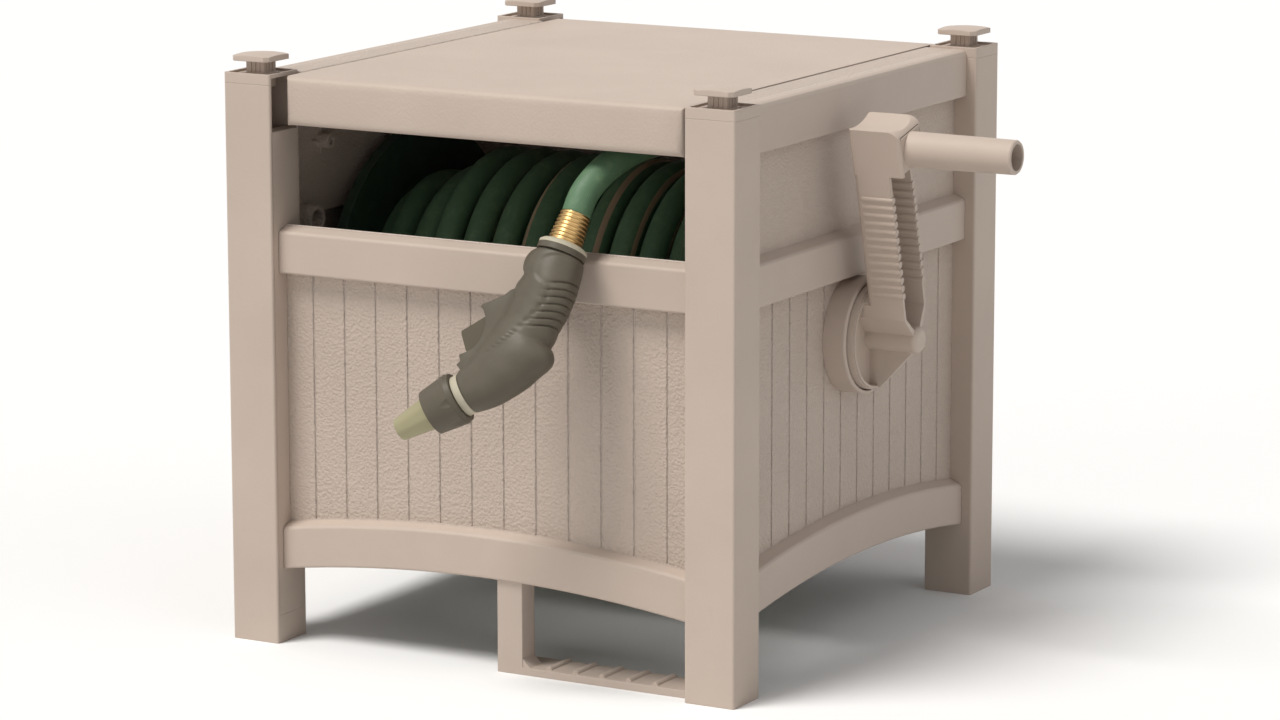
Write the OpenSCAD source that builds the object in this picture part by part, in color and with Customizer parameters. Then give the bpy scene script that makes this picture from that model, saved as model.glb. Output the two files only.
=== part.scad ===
// Hose reel box: a resin cabinet of four corner posts and panelled walls round a
// cranked hose reel, with a hinged lid, a fold-away crank handle, a foot brace and
// a hose whose nozzle hangs over the front rail. Millimetres, +Z up, front at -Y.
// The origin is on the floor under the middle of the whole, crank and inlet included.
// The pieces are drawn about the middle of the cabinet and moved there by home.

/* [Cabinet] */
// width over the outer faces of the posts
box_w = 510; // [470:5:600]
// depth over the outer faces of the posts
box_d = 510; // [470:5:600]
// height of the posts without their finials
box_h = 512; // [480:2:600]
// width of a post, left to right
post_w = 48; // [42:1:60]
// depth of a post, front to back
post_d = 46; // [40:1:60]
// wall of the moulded resin pieces
wall = 3; // [2:0.5:4]
// radius on the upright edges of a post
post_edge = 2; // [1:0.5:5]

/* [Walls] */
// how far the rails stand back from the post faces
rail_recess = 10; // [6:1:16]
// how far the boards stand back from the post faces
board_recess = 22; // [18:1:30]
// underside of the rail that runs round at mid height
rail_z = 335; // [320:1:360]
// height of the face of the mid rail
rail_h = 37; // [30:1:50]
// rise of the sloping ledge on top of each rail
ledge_rise = 5; // [2:0.5:8]
// underside of the apron at the posts
apron_z = 67; // [50:1:90]
// height of the face of the apron
apron_h = 37; // [30:1:50]
// how far the apron arches up at mid span
apron_rise = 16; // [8:1:26]
// spacing of the grooves between the boards
board_pitch = 32.5; // [20:0.5:50]
// width of a groove
groove_w = 1.6; // [1:0.2:3]
// depth of a groove
groove_d = 1.2; // [0.6:0.2:1.8]
// face height of the top beam of each side wall
beam_h = 42.5; // [36:0.5:50]
// width of the top of that beam, from its outer face inwards
beam_w = 42; // [36:1:46]
// gap between the posts and the lid or a panel beside them
side_gap = 3; // [2:0.5:6]

/* [Posts] */
// height of the cap on top of a post
cap_h = 9.5; // [7:0.5:14]
// thickness of the top plate of the cap
cap_t = 3.5; // [2.5:0.5:5]
// underside of the inner cover of a post
cover_z0 = 25.5; // [15:0.5:40]
// height of the open niche above the inner cover
niche_h = 47.5; // [40:0.5:60]
// side of the square plate of a finial
finial_w = 38.6; // [32:0.2:46]
// thickness of that plate
finial_t = 5; // [4:0.5:8]
// side of the square stem under it
stem_w = 18.6; // [14:0.2:24]
// height of the stem that shows above the cap
stem_h = 10; // [6:0.5:14]

/* [Lid] */
// gap between the lid and each beam beside it
lid_gap = 3; // [2:0.5:6]
// height of the front flap of the lid
flap_h = 44; // [36:1:56]
// how far the flap stands back from the post fronts
flap_recess = 12; // [10:1:16]
// radius of the rolled front edge of the lid
lid_roll = 15; // [8:1:20]
// radius of the lid's hinge barrel
barrel_r = 10; // [8:0.5:12]
// radius of a hinge pin
hinge_pin_r = 3.5; // [3:0.25:5]
// how far the lid opens, degrees
lid_open = 100; // [90:1:105]

/* [Reel] */
// height of the reel's axle above the floor
axle_z = 281; // [260:1:300]
// radius of the reel's flanges
flange_r = 156; // [130:1:170]
// clearance between each flange and the side wall behind it
reel_gap = 19; // [14:0.5:30]
// thickness of a flange
flange_t = 4; // [3:0.5:6]
// radius of the drum
drum_r = 38; // [34:1:44]
// radius of the two journals that the reel turns on
journal_r = 20; // [17:0.5:24]
// radial clearance of the journals in their bearings
run_gap = 0.08; // [0.04:0.01:0.1]
// outside diameter of the hose
hose_d = 25.4; // [20:0.2:27]
// radius of the drum's outer layer of hose, at the middle of the hose
layer_r = 128; // [122:1:132]
// spacing of the turns along the drum
turn_pitch = 30; // [28:0.5:34]
// complete turns in the outer layer
turns = 11; // [6:1:11]

/* [Crank] */
// radius of the bearing cup on the right wall
cup_r = 52; // [46:1:60]
// radius of the crank's disc
disc_r = 47.6; // [42:0.2:56]
// thickness of the disc
disc_t = 12; // [8:1:16]
// gap between the cup and the crank's disc
disc_gap = 1.4; // [1:0.1:3]
// tilt of the resting crank towards the front, degrees
crank_tilt = 14; // [0:1:30]
// width of the crank's channel
arm_w = 43; // [38:1:50]
// depth of the channel
arm_d = 35; // [32:1:40]
// wall of the channel
arm_wall = 3.5; // [3:0.25:4]
// distance from the axle to the handle's pivot
pivot_h = 181; // [160:1:200]
// height of the handle's block above and below the pivot
block_up = 23; // [20:1:28]
block_down = 19; // [16:1:26]
// how far the block stands out past the channel
block_out = 13.5; // [8:0.5:18]
// grip ribs on each leg of the channel
rib_n = 13; // [8:1:16]
// spacing of the grip ribs
rib_pitch = 7.5; // [6.5:0.5:8]
// how far the ribs stand out
rib_out = 1.1; // [0.6:0.1:1.3]
// radius of the handle at its root
handle_r = 16; // [13:0.5:16]
// radius of the handle at its open end
handle_tip_r = 15; // [12:0.5:16]
// length of the handle outside the block
handle_l = 99.5; // [80:0.5:110]
// radius of the bore in the handle
handle_bore_r = 11.5; // [9:0.5:13]

/* [Foot brace] */
// width of the upright leg
leg_w = 25; // [20:1:32]
// depth of the upright leg
leg_d = 21; // [18:1:28]
// left side of the leg, to the right of the middle
leg_x = 14; // [0:1:40]
// depth of the foot bar on the floor
bar_d = 38; // [30:1:46]
// thickness of the foot bar
bar_t = 7; // [6:0.5:10]
// ribs across the foot bar
foot_rib_n = 5; // [3:1:6]
// spacing of those ribs
foot_rib_pitch = 26.4; // [20:0.4:32]

/* [Water inlet] */
// radius over the hose thread
thread_r = 13.3; // [10:0.1:17]
// length of the thread
thread_l = 15; // [12:0.5:20]
// radius of the fixed water tube inside the axle
spout_r = 9; // [8:0.25:11]
// bore of that tube
spout_bore_r = 6.5; // [5:0.25:8]

/* [Nozzle] */
// radius of the nut on the hose end
nut_r = 21.5; // [18:0.5:24]
// length of that nut
nut_l = 10; // [8:0.5:14]
// length of the ribbed ferrule
ferrule_l = 28; // [20:1:36]
// ridges round the ferrule
ridge_n = 8; // [5:1:10]
// radius of the band between the grip and the twist collar
band_r = 18.3; // [16:0.1:20]
// radius of the spindle that the collar turns on
spindle_r = 13.5; // [11:0.25:15]
// length of the twist collar
collar_l = 30; // [24:1:36]
// radius of the collar at its wide end
collar_r = 23.4; // [20:0.2:26]
// length of the tip in front of the collar
tip_l = 32; // [20:1:40]
// how far the trigger swings in, degrees
trigger_swing = 9; // [4:1:10]

/* [Hidden] */
$fn = 64;
eps = 0.01;
fit = 0.3;            // clearance of seated and plugged pieces
rail_end = 0.25;      // the rails stop this far short of the posts
move_gap = 0.5;       // least gap between pieces that move on each other
in_w = box_w - 2 * post_w;
in_d = box_d - 2 * post_d;
board_back = board_recess + wall;
mid_rail_top = rail_z + rail_h + ledge_rise;
beam_top = box_h - 2;
lid_top = beam_top;
niche_top = box_h - cap_t;
cover_z1 = niche_top - niche_h;
half_span = in_w / 2;
arch_r = (half_span * half_span + apron_rise * apron_rise) / (2 * apron_rise);
arch_zc = apron_z + apron_rise - arch_r;

// tenons that plug the panels into the posts
tenon_l = 10;
tenon_t = 8;
tenon_h = 20;
tenon_y = rail_recess + wall + 0.5;
tenon_zs = [apron_z + apron_h / 2 - 10, rail_z + (rail_h - tenon_h) / 2];

// lid and hinge
lid_hw = box_w / 2 - rail_recess - beam_w - lid_gap;
lid_front = -box_d / 2 + flap_recess;
hinge_y = box_d / 2 - post_d / 2;
hinge_z = lid_top - barrel_r;
skirt_z = hinge_z - 1.5;
flap_z = lid_top - flap_h;
flap_deep = 12;
knuckle_l = 25;
shelf_w = 8;
shelf_z = skirt_z - fit - wall;
rear_top = hinge_z - barrel_r - 2;

// reel, along X
board_x = box_w / 2 - board_recess;          // outer face of the side boards
board_in_x = board_x - wall;
flange_out = board_in_x - reel_gap;          // outer face of each flange's disc
face_x = flange_out - flange_t;              // inner face of each flange
bearing_r = journal_r + run_gap;
bearing_wall = 4;
hub_in_x = board_in_x - 8;                   // inner end of both bearing tubes
screw_r = 2;
cup_x = box_w / 2;                           // front rim of the bearing cup
cup_floor_x = cup_x - 6;
cup_edge = 2.4;
disc_x = cup_floor_x + 0.9;                  // back of the crank's disc
disc_front = disc_x + disc_t;
arm_x = disc_front + 4;                      // back of the channel
arm_out = arm_x + arm_d;
block_x = arm_out + block_out;
pivot_x = arm_x + arm_wall + 1 + handle_r;
square_w = 22;
square_l = 26;
crown_r = 150;                               // of the finials' domed tops
axle_r = 13;                                 // of the tube inside the journal
inlet_flange_r = 46;
inlet_seat_r = 31;
channel_w = arm_w - 2 * arm_wall;
arm_foot = 27;                               // where the legs start above the axle
block_top = pivot_h + block_up;
block_low = pivot_h - block_down;
hub_r = 12;
hub_nose = arm_out + 3;

// from the middle of the cabinet to the middle of the whole, along X
inlet_end = -board_x - 9 - 5 - thread_l;
home = [-(block_x + handle_l + inlet_end) / 2, 0, 0];

// hose winding: an angle of 0 is behind the axle, 90 above it and 180 in front
hose_r = hose_d / 2;
rings_per_loop = 24;
last_x = face_x - 20;                         // the last full turn, in front
climb_r = layer_r + hose_d + 1.1;            // where the free end rides
climb_from = 180;
climb_to = 348;
layer_from = 180 - 360 * turns + 90;
dive = 300;                                  // the first loop comes up from below
dive_r = layer_r - hose_d - 0.6;
wind_from = layer_from - dive;
flat_r = hose_r * cos(30);                   // the six-sided tube's flats lie inwards
pack_r = (layer_r - flat_r) * cos(180 / rings_per_loop) - fit;
pack_low_r = (dive_r - flat_r) * cos(180 / rings_per_loop) - fit;

function ease(s) = s * s * (3 - 2 * s);
function layer_x(a) = last_x + turn_pitch * (a - climb_from) / 360;
function climb_s(a) = (a - climb_from) / (climb_to - climb_from);
function dive_s(a) = (layer_from - a) / dive;
function wind_x(a) =
    a > climb_from ? last_x + 4 * sin(180 * climb_s(a)) - 9 * pow(climb_s(a), 3)
    : a < layer_from ? layer_x(layer_from) - 9 * sin(90 * min(1, 1.6 * dive_s(a)))
    : layer_x(a);
function wind_r(a) =
    a > climb_from ? layer_r + (climb_r - layer_r) * ease(climb_s(a))
    : a < layer_from ? layer_r - (layer_r - dive_r) * ease(dive_s(a))
    : layer_r;
function wind_at(a) = [wind_x(a), wind_r(a) * cos(a), axle_z + wind_r(a) * sin(a)];
function unit(v) = v / norm(v);
wind_n = floor((climb_to - wind_from) / 360 * rings_per_loop);
wind_step = (climb_to - wind_from) / wind_n;
wind_end_dir = unit(wind_at(climb_to) - wind_at(climb_to - 1));
wind_end = wind_at(climb_to) + hose_d * wind_end_dir;
wind_path = concat(
    [for (i = [0:wind_n]) wind_at(wind_from + i * wind_step)],
    [wind_end]);

// least gap of the winding to itself, measured between rings more than half a loop apart
wind_gap = min([for (i = [0:2:wind_n]) min([
    for (j = [i + 14:1:min(wind_n, i + 34)]) norm(wind_path[i] - wind_path[j]), 1000])]) - hose_d;
echo(least_gap_of_winding = wind_gap);

// route of the free hose from the winding over the drum to the nozzle
run_points = [
    [175, 161.3, 311.8], [175.1, 156.9, 330.8], [174.4, 149.8, 348.9], [173, 140.5, 366],
    [170.8, 129.5, 382], [168.3, 116.8, 396.6], [165.4, 102.9, 409.9], [162.3, 87.7, 421.7],
    [159.1, 71.5, 432.1], [155.9, 54.4, 441], [152.9, 36.5, 448.3], [149.9, 18.2, 454.2],
    [147.1, -0.7, 458.6], [144.5, -19.7, 461.7], [142, -39, 463.8], [139.5, -58.3, 465],
    [136.9, -77.6, 465.7], [134.3, -97, 466.1], [131.4, -116.3, 466.1], [128.3, -135.5, 465.6],
    [124.7, -154.7, 464.5], [120.8, -173.7, 462.1], [116.2, -192.2, 458],
    [111.2, -209.8, 451.2], [105.9, -225.7, 441.3]
];
nozzle_lean = -30;                           // the nozzle's plane leans out from upright
inlet_turn = 6.9;                            // the inlet leans in that plane
run_end = [99.1, -249.3, 411.8];
inlet_dir = [sin(inlet_turn), -cos(inlet_turn) * sin(nozzle_lean),
    cos(inlet_turn) * cos(nozzle_lean)];
cut_gap = 0.1;                               // between the winding and the free hose
run_path = concat(
    [wind_end + cut_gap * wind_end_dir, wind_end + 0.75 * hose_d * wind_end_dir],
    run_points,
    [run_end + hose_d * inlet_dir * 0.75, run_end]);
nozzle_at = run_end - (ferrule_l + 2) * inlet_dir;

// nozzle grip: trigger side, back and half thickness of each section
grip_in = [-1, -8.3];
grip_in_r = 20.5;
grip_out = [-54.2, -137.3];
grip_out_r = 18.8;
grip = [
    [[-29, -11.5], [22.2, -17], 20.5], [[-31.2, -19.5], [22.6, -27], 21.6],
    [[-29.6, -29.5], [22, -39], 22], [[-32, -42], [21, -51.5], 21.6],
    [[-33, -56], [18.6, -64], 20.8], [[-36.5, -71], [14.8, -77], 20.4],
    [[-41, -83], [12.2, -88], 21], [[-46, -90.5], [15.6, -94.5], 21.8],
    [[-50.5, -97], [17.6, -100.5], 22.4], [[-54.5, -103], [15, -107.5], 22.4],
    [[-58, -108.5], [8.5, -114.5], 21.8], [[-60.5, -112.5], [1, -124.2], 20.8],
    [[-62.5, -116], [-11, -135], 19.4], [[-64, -119.5], [-27, -146.2], 18]
];
outlet_at = [-54.5, 0, -137.5];
outlet_turn = -125;
trigger_pivot = [-54, -103];
trigger_t = 14;
trigger_top = 82;                            // bearing of its upper corner from its pivot
trigger_shape = [
    [-47, -66], [-52, -70], [-72, -85.5], [-71.5, -88], [-63, -102], [-58, -107],
    [-51, -107], [-48, -102], [-43, -84]
];

function cross_dir(p, i) = unit(p[min(len(p) - 1, i + 1)] - p[max(0, i - 1)]);
function ring_points(c, t, r, n) = [
    let (u = unit([1, 0, 0] - t[0] * t), v = cross(t, u))
    for (k = [0:n - 1]) c + r * (cos(360 * k / n) * u + sin(360 * k / n) * v)];

// a round tube swept along points, as triangles
module tube_along(path, r, sides) {
    m = len(path);
    rings = [for (i = [0:m - 1]) each ring_points(path[i], cross_dir(path, i), r, sides)];
    skin = [for (i = [0:m - 2], k = [0:sides - 1]) each [
        [i * sides + k, (i + 1) * sides + k, i * sides + (k + 1) % sides],
        [(i + 1) * sides + k, (i + 1) * sides + (k + 1) % sides, i * sides + (k + 1) % sides]]];
    caps = [for (k = [1:sides - 2]) each [
        [0, k, k + 1],
        [(m - 1) * sides, (m - 1) * sides + k + 1, (m - 1) * sides + k]]];
    polyhedron(rings, concat(skin, caps));
}

// a flat shape with y across and z up, drawn out along X about the middle
module along_x(length) {
    rotate([90, 0, 90]) linear_extrude(length, center = true) children();
}

// a flat shape with x across and z up, drawn out along Y about the middle
module along_y(length) {
    rotate([90, 0, 0]) linear_extrude(length, center = true) children();
}

// a cylinder along X from x0 to x1 about the axle
module rod_x(x0, x1, r) {
    translate([x0, 0, axle_z]) rotate([0, 90, 0]) cylinder(h = x1 - x0, r = r);
}

module rounded_rect(w, d, r) {
    translate([r, 0]) square([w - 2 * r, d]);
    translate([0, r]) square([w, d - 2 * r]);
    for (x = [r, w - r], y = [r, d - r]) translate([x, y]) circle(r, $fn = 24);
}

// places a piece drawn in the front left corner into any corner
module at_corner(sx, sy) {
    if (sx < 0 && sy < 0) translate([-box_w / 2, -box_d / 2, 0]) children();
    if (sx > 0 && sy < 0) mirror([1, 0, 0]) translate([-box_w / 2, -box_d / 2, 0]) children();
    if (sx < 0 && sy > 0) mirror([0, 1, 0]) translate([-box_w / 2, -box_d / 2, 0]) children();
    if (sx > 0 && sy > 0) rotate([0, 0, 180]) translate([-box_w / 2, -box_d / 2, 0]) children();
}

resin = [0.75, 0.69, 0.63];
resin_dark = [0.66, 0.61, 0.55];
green = [0.06, 0.22, 0.15];
green_dark = [0.03, 0.1, 0.07];
brass = [0.72, 0.55, 0.3];
cream = [0.8, 0.8, 0.62];
grip_grey = [0.35, 0.33, 0.29];
steel = [0.7, 0.7, 0.72];
rubber = [0.08, 0.08, 0.08];

// Posts

module tenon_slots(depth) {
    for (z = tenon_zs)
        translate([tenon_y - fit, -eps, z - fit])
            cube([tenon_t + 2 * fit, depth, tenon_h + 2 * fit]);
}

module post_shell() {
    top = box_h - cap_h;
    difference() {
        linear_extrude(top) rounded_rect(post_w, post_d, post_edge);
        translate([wall, wall, -eps])
            linear_extrude(top + 1) rounded_rect(post_w - 2 * wall, post_d - 2 * wall, 1);
        translate([post_w - wall - 1, wall, cover_z0])
            cube([wall + 2, post_d - 2 * wall, top]);
        translate([0, post_d - wall - 1, 0]) tenon_slots(wall + 2);
    }
}

module post_brace_slot() {
    translate([-box_w / 2 + post_w - wall - 1, -box_d / 2 + brace_y0 - fit, -1])
        cube([wall + 2, spigot_w + 2 * fit, bar_t - wall + 1 + fit + 1]);
}

module post_front_left() {
    translate(home) color(resin) at_corner(-1, -1) post_shell();
}

module post_front_right() {
    translate(home) color(resin) at_corner(1, -1) difference() {
        post_shell();
        translate([box_w / 2, box_d / 2, 0]) post_brace_slot();
    }
}

module post_rear_left() {
    translate(home) color(resin) at_corner(-1, 1) post_shell();
}

module post_rear_right() {
    translate(home) color(resin) at_corner(1, 1) post_shell();
}

// the cover that closes the inner face of a post below the niche
module inner_cover() {
    w = post_d - 2 * wall - 2 * 0.2;
    translate([post_w - wall, wall + 0.2, cover_z0]) difference() {
        union() {
            cube([wall, w, cover_z1 - cover_z0]);
            for (y = [0.1, w - 2.6])
                translate([-8, y, 0]) cube([8 + eps, 2.5, cover_z1 - cover_z0]);
            translate([-12, 0.1, cover_z1 - cover_z0 - wall]) cube([12 + eps, w - 0.2, wall]);
        }
        for (z = tenon_zs)
            translate([-20, tenon_y - fit - wall - 0.2, z - fit - cover_z0])
                cube([30, tenon_t + 2 * fit, tenon_h + 2 * fit]);
    }
}

module post_covers() {
    translate(home) color(resin) for (sx = [-1, 1], sy = [-1, 1]) at_corner(sx, sy) inner_cover();
}

module post_cap() {
    skirt = cap_h - cap_t;
    rim = 2.5;
    difference() {
        union() {
            translate([0, 0, box_h - cap_h])
                linear_extrude(cap_h) rounded_rect(post_w, post_d, post_edge);
            for (y = [wall + 0.2, post_d - wall - 2.7])
                translate([wall + 1.5, y, box_h - cap_h - 12]) cube([14, 2.5, 12 + skirt]);
        }
        translate([wall + 2.7, wall + 2.7, box_h - cap_h - eps])
            cube([post_w, post_d - 2 * wall - 5.4, skirt]);
        translate([post_w - wall - 1, wall, box_h - cap_h - eps])
            cube([wall + 2, post_d - 2 * wall, skirt]);
        translate([wall, wall, box_h - 2])
            linear_extrude(3) rounded_rect(post_w - 2 * wall, post_d - 2 * wall, rim);
        translate([(post_w - stem_w) / 2 - fit, (post_d - stem_w) / 2 - fit, box_h - cap_h - 13])
            cube([stem_w + 2 * fit, stem_w + 2 * fit, cap_h + 14]);
    }
}

module post_caps() {
    translate(home) color(resin) for (sx = [-1, 1], sy = [-1, 1]) at_corner(sx, sy) post_cap();
}

// a square plate with clipped corners and a slightly domed top, on a ribbed stem
module finial() {
    clip = 4;
    h = finial_w / 2;
    translate([post_w / 2, post_d / 2, 0]) {
        translate([-stem_w / 2, -stem_w / 2, box_h - 14])
            cube([stem_w, stem_w, stem_h + 14 + eps]);
        for (a = [0:90:270], y = [-4.5, 0, 4.5])
            rotate([0, 0, a]) translate([stem_w / 2 - 0.2, y - 0.9, box_h])
                cube([1, 1.8, stem_h]);
        translate([0, 0, box_h - 2]) linear_extrude(0.7) square(stem_w + 5, center = true);
        intersection() {
            translate([0, 0, box_h + stem_h]) linear_extrude(finial_t + 3) polygon([
                [clip - h, -h], [h - clip, -h], [h, clip - h], [h, h - clip],
                [h - clip, h], [clip - h, h], [-h, h - clip], [-h, clip - h]]);
            translate([0, 0, box_h + stem_h + finial_t + 1.2 - crown_r])
                sphere(crown_r, $fn = 180);
        }
    }
}

module finials() {
    translate(home) color(resin) for (sx = [-1, 1], sy = [-1, 1]) at_corner(sx, sy) finial();
}

// Walls: drawn as the front wall, with y = 0 at the post faces and y growing inwards

module rail_outer(h) {
    polygon([
        [rail_recess + 1, 0], [board_back, 0], [board_back, h + ledge_rise],
        [board_recess + 0.8, h + ledge_rise], [rail_recess + 1.4, h + 0.6],
        [rail_recess, h - 1.4], [rail_recess, 1]]);
}

module rail_inner(h) {
    polygon([
        [rail_recess + wall, wall], [board_back + 1, wall],
        [board_back + 1, h + ledge_rise - wall], [board_recess, h + ledge_rise - wall],
        [rail_recess + wall, h - wall]]);
}

module mid_rail(length) {
    translate([0, 0, rail_z]) difference() {
        along_x(length - 2 * rail_end) rail_outer(rail_h);
        along_x(length - 2 * wall) rail_inner(rail_h);
    }
}

// the same section turned about a centre far below, for the arched apron
module arch_sweep(length) {
    sweep = 24;
    intersection() {
        translate([0, 0, arch_zc]) rotate([-90, 0, 0]) rotate([0, 0, -90 - sweep / 2])
            rotate_extrude(angle = sweep, $fn = 480)
                translate([arch_r, 0]) mirror([1, -1, 0]) children();
        translate([-length / 2, -1, 0]) cube([length, board_back + 3, 400]);
    }
}

module apron(length) {
    difference() {
        arch_sweep(length - 2 * rail_end) rail_outer(apron_h);
        arch_sweep(length - 2 * wall) rail_inner(apron_h);
    }
}

function arch_z(x, rise) = arch_zc + sqrt(pow(arch_r + rise, 2) - x * x);

// grooved boards between the apron and the mid rail
module boards(length) {
    groove_n = 2 * floor((length / 2 - 10) / board_pitch);
    steps = 12;
    low = apron_h + ledge_rise - wall / 2;
    difference() {
        translate([0, board_back, 0]) rotate([90, 0, 0]) linear_extrude(wall) polygon(concat(
            [[length / 2, rail_z + wall / 2], [-length / 2, rail_z + wall / 2]],
            [for (i = [0:steps]) let (x = (i / steps - 0.5) * length) [x, arch_z(x, low)]]));
        for (i = [0:groove_n - 1])
            translate([(i - (groove_n - 1) / 2) * board_pitch - groove_w / 2,
                board_recess - 1, apron_z])
                cube([groove_w, groove_d + 1, rail_z - apron_z]);
    }
}

// plain sheet from the mid rail up to z1
module upper_sheet(length, z1) {
    z0 = mid_rail_top - wall / 2;
    translate([-length / 2, board_recess, z0]) cube([length, wall, z1 - z0]);
}

module tenons(length) {
    for (s = [-1, 1], z = tenon_zs)
        translate([s > 0 ? length / 2 - wall : -length / 2 - tenon_l, tenon_y, z])
            cube([tenon_l + wall, tenon_t, tenon_h]);
}

module wall_panel(length) {
    boards(length);
    mid_rail(length);
    apron(length);
    tenons(length);
}

module front_panel() {
    translate(home) color(resin) translate([0, -box_d / 2, 0]) difference() {
        wall_panel(in_w);
        // the foot brace's leg comes up through the underside of the apron
        translate([leg_x - fit, rail_recess + wall, apron_z])
            cube([leg_w + 2 * fit, leg_d + 6, apron_rise + wall + 4]);
    }
}

module beam_outer() {
    z0 = beam_top - beam_h;
    polygon([
        [rail_recess, z0], [board_back, z0], [board_back, shelf_z - 9],
        [rail_recess + beam_w - wall, shelf_z - 9], [rail_recess + beam_w + shelf_w, shelf_z],
        [rail_recess + beam_w + shelf_w, shelf_z + wall], [rail_recess + beam_w, shelf_z + wall],
        [rail_recess + beam_w, beam_top - 1], [rail_recess + beam_w - 1, beam_top],
        [rail_recess + 5, beam_top], [rail_recess + 1.5, beam_top - 1.5],
        [rail_recess, beam_top - 5]]);
}

module beam_inner() {
    z0 = beam_top - beam_h;
    polygon([
        [rail_recess + wall, z0 + wall], [board_recess, z0 + wall], [board_recess, shelf_z - 12],
        [rail_recess + beam_w - wall, shelf_z - 12], [rail_recess + beam_w - wall, beam_top - wall],
        [rail_recess + wall + 3, beam_top - wall], [rail_recess + wall, beam_top - wall - 3]]);
}

// the top beam of a side wall: its flat top lies level with the lid
module beam(length) {
    difference() {
        along_x(length) beam_outer();
        along_x(length - 2 * wall) beam_inner();
    }
}

boss_len = 28;
rod_boss = [box_d / 2 - 113.4, 439];
socket_boss = [box_d / 2 - 80.6, 372.6];

// tubular bosses inside a side wall, near its front end (at low x as seen from outside)
module inner_bosses(front) {
    for (b = [[rod_boss, 7, 3.2], [socket_boss, 12.5, 9]])
        translate([front * b[0][0], board_back - eps, b[0][1]]) rotate([-90, 0, 0]) difference() {
            union() {
                cylinder(h = boss_len - 22 + b[1], r = b[1]);
                for (a = [0, 90, 180, 270]) rotate([0, 0, a])
                    linear_extrude(3) translate([0, -1]) square([b[1] + 6, 2]);
            }
            translate([0, 0, 3]) cylinder(h = 60, r = b[2]);
        }
}

module side_panel(front, hole_r, screw_pcd) {
    difference() {
        union() {
            wall_panel(in_d);
            upper_sheet(in_d, beam_top - beam_h + wall / 2);
            beam(in_d);
            inner_bosses(front);
        }
        translate([0, -1, axle_z]) rotate([-90, 0, 0]) cylinder(h = 80, r = hole_r);
        for (a = [45:90:315])
            translate([screw_pcd * cos(a), -1, axle_z + screw_pcd * sin(a)])
                rotate([-90, 0, 0]) cylinder(h = 80, r = screw_r + fit);
    }
}

bearing_tube_r = bearing_r + bearing_wall;
cup_screw_pcd = 36;
inlet_screw_pcd = 38;

module right_panel() {
    translate(home) color(resin_dark) rotate([0, 0, 90]) translate([0, -box_w / 2, 0])
        side_panel(-1, bearing_tube_r + fit, cup_screw_pcd);
}

module left_panel() {
    translate(home) color(resin_dark) rotate([0, 0, -90]) translate([0, -box_w / 2, 0])
        side_panel(1, bearing_tube_r + fit, inlet_screw_pcd);
}

module rear_panel() {
    translate(home) color(resin_dark) rotate([0, 0, 180]) translate([0, -box_d / 2, 0]) {
        wall_panel(in_w);
        upper_sheet(in_w, rear_top - rail_h - ledge_rise + wall / 2);
        translate([0, 0, rear_top - rail_h - ledge_rise]) difference() {
            along_x(in_w - 2 * rail_end) rail_outer(rail_h);
            along_x(in_w - 2 * wall) rail_inner(rail_h);
        }
    }
}

// Foot brace

brace_y0 = rail_recess + wall + 0.5;
spigot_w = 24;

module foot_brace() {
    x1 = in_w / 2;
    leg_top = apron_z + apron_h - 1;
    translate(home) color(resin_dark) translate([0, -box_d / 2 + rail_recess + wall, 0]) {
        // leg: a channel that is open at the back
        difference() {
            translate([leg_x, 0, 0]) cube([leg_w, leg_d, leg_top + 10]);
            translate([leg_x + wall, wall, bar_t])
                cube([leg_w - 2 * wall, leg_d, leg_top + 11]);
        }
        // bar: a shallow tray turned over, with round ribs across its top
        difference() {
            translate([leg_x, 0, 0]) cube([x1 - leg_x, bar_d, bar_t]);
            translate([leg_x + wall, wall, -1])
                cube([x1 - leg_x - 2 * wall, bar_d - 2 * wall, bar_t - wall + 1]);
        }
        for (i = [0:foot_rib_n - 1])
            translate([leg_x + leg_w + 25 + i * foot_rib_pitch, 3, bar_t - 0.5])
                rotate([-90, 0, 0]) cylinder(h = bar_d - 4, r = 3.2, $fn = 20);
        // web in the corner between leg and bar
        translate([0, leg_d / 2, 0]) along_y(leg_d - 1) polygon([
            [leg_x + leg_w - 1, bar_t - 1], [leg_x + leg_w + 9, bar_t - 1],
            [leg_x + leg_w + 3.5, bar_t + 3.5], [leg_x + leg_w - 1, bar_t + 9]]);
        // spigot in the post
        translate([x1 - eps, 0.5, 0]) cube([tenon_l, spigot_w, bar_t - wall]);
    }
}

// Lid

function arc(c, r, a0, a1, n) = [
    for (i = [0:n]) c + r * [cos(a0 + (a1 - a0) * i / n), sin(a0 + (a1 - a0) * i / n)]];

module lid_outer_shape() {
    polygon(concat(
        [[lid_front, flap_z + 1], [lid_front + 1, flap_z], [lid_front + flap_deep, flap_z],
            [lid_front + flap_deep, skirt_z], [hinge_y + barrel_r, skirt_z]],
        arc([hinge_y, hinge_z], barrel_r, 0, 90, 5),
        arc([lid_front + lid_roll, lid_top - lid_roll], lid_roll, 90, 180, 7)));
}

module lid_inner_shape() {
    polygon(concat(
        [[lid_front + wall, flap_z + wall], [lid_front + wall + 4, flap_z + wall],
            [lid_front + wall + 4, flap_z - 1], [lid_front + flap_deep + 1, flap_z - 1],
            [lid_front + flap_deep + 1, skirt_z - 1], [hinge_y + barrel_r - wall, skirt_z - 1]],
        arc([hinge_y, hinge_z], barrel_r - wall, 0, 90, 3),
        arc([lid_front + lid_roll, lid_top - lid_roll], lid_roll - wall, 90, 180, 5)));
}

module lid_plan(grow, r) {
    x = lid_hw - grow;
    y = lid_front + grow;
    translate([0, 0, flap_z - 5]) linear_extrude(flap_h + 10) polygon(concat(
        [[x, box_d / 2], [-x, box_d / 2]],
        arc([r - x, y + r], r, 180, 270, 4),
        arc([x - r, y + r], r, 270, 360, 4)));
}

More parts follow.
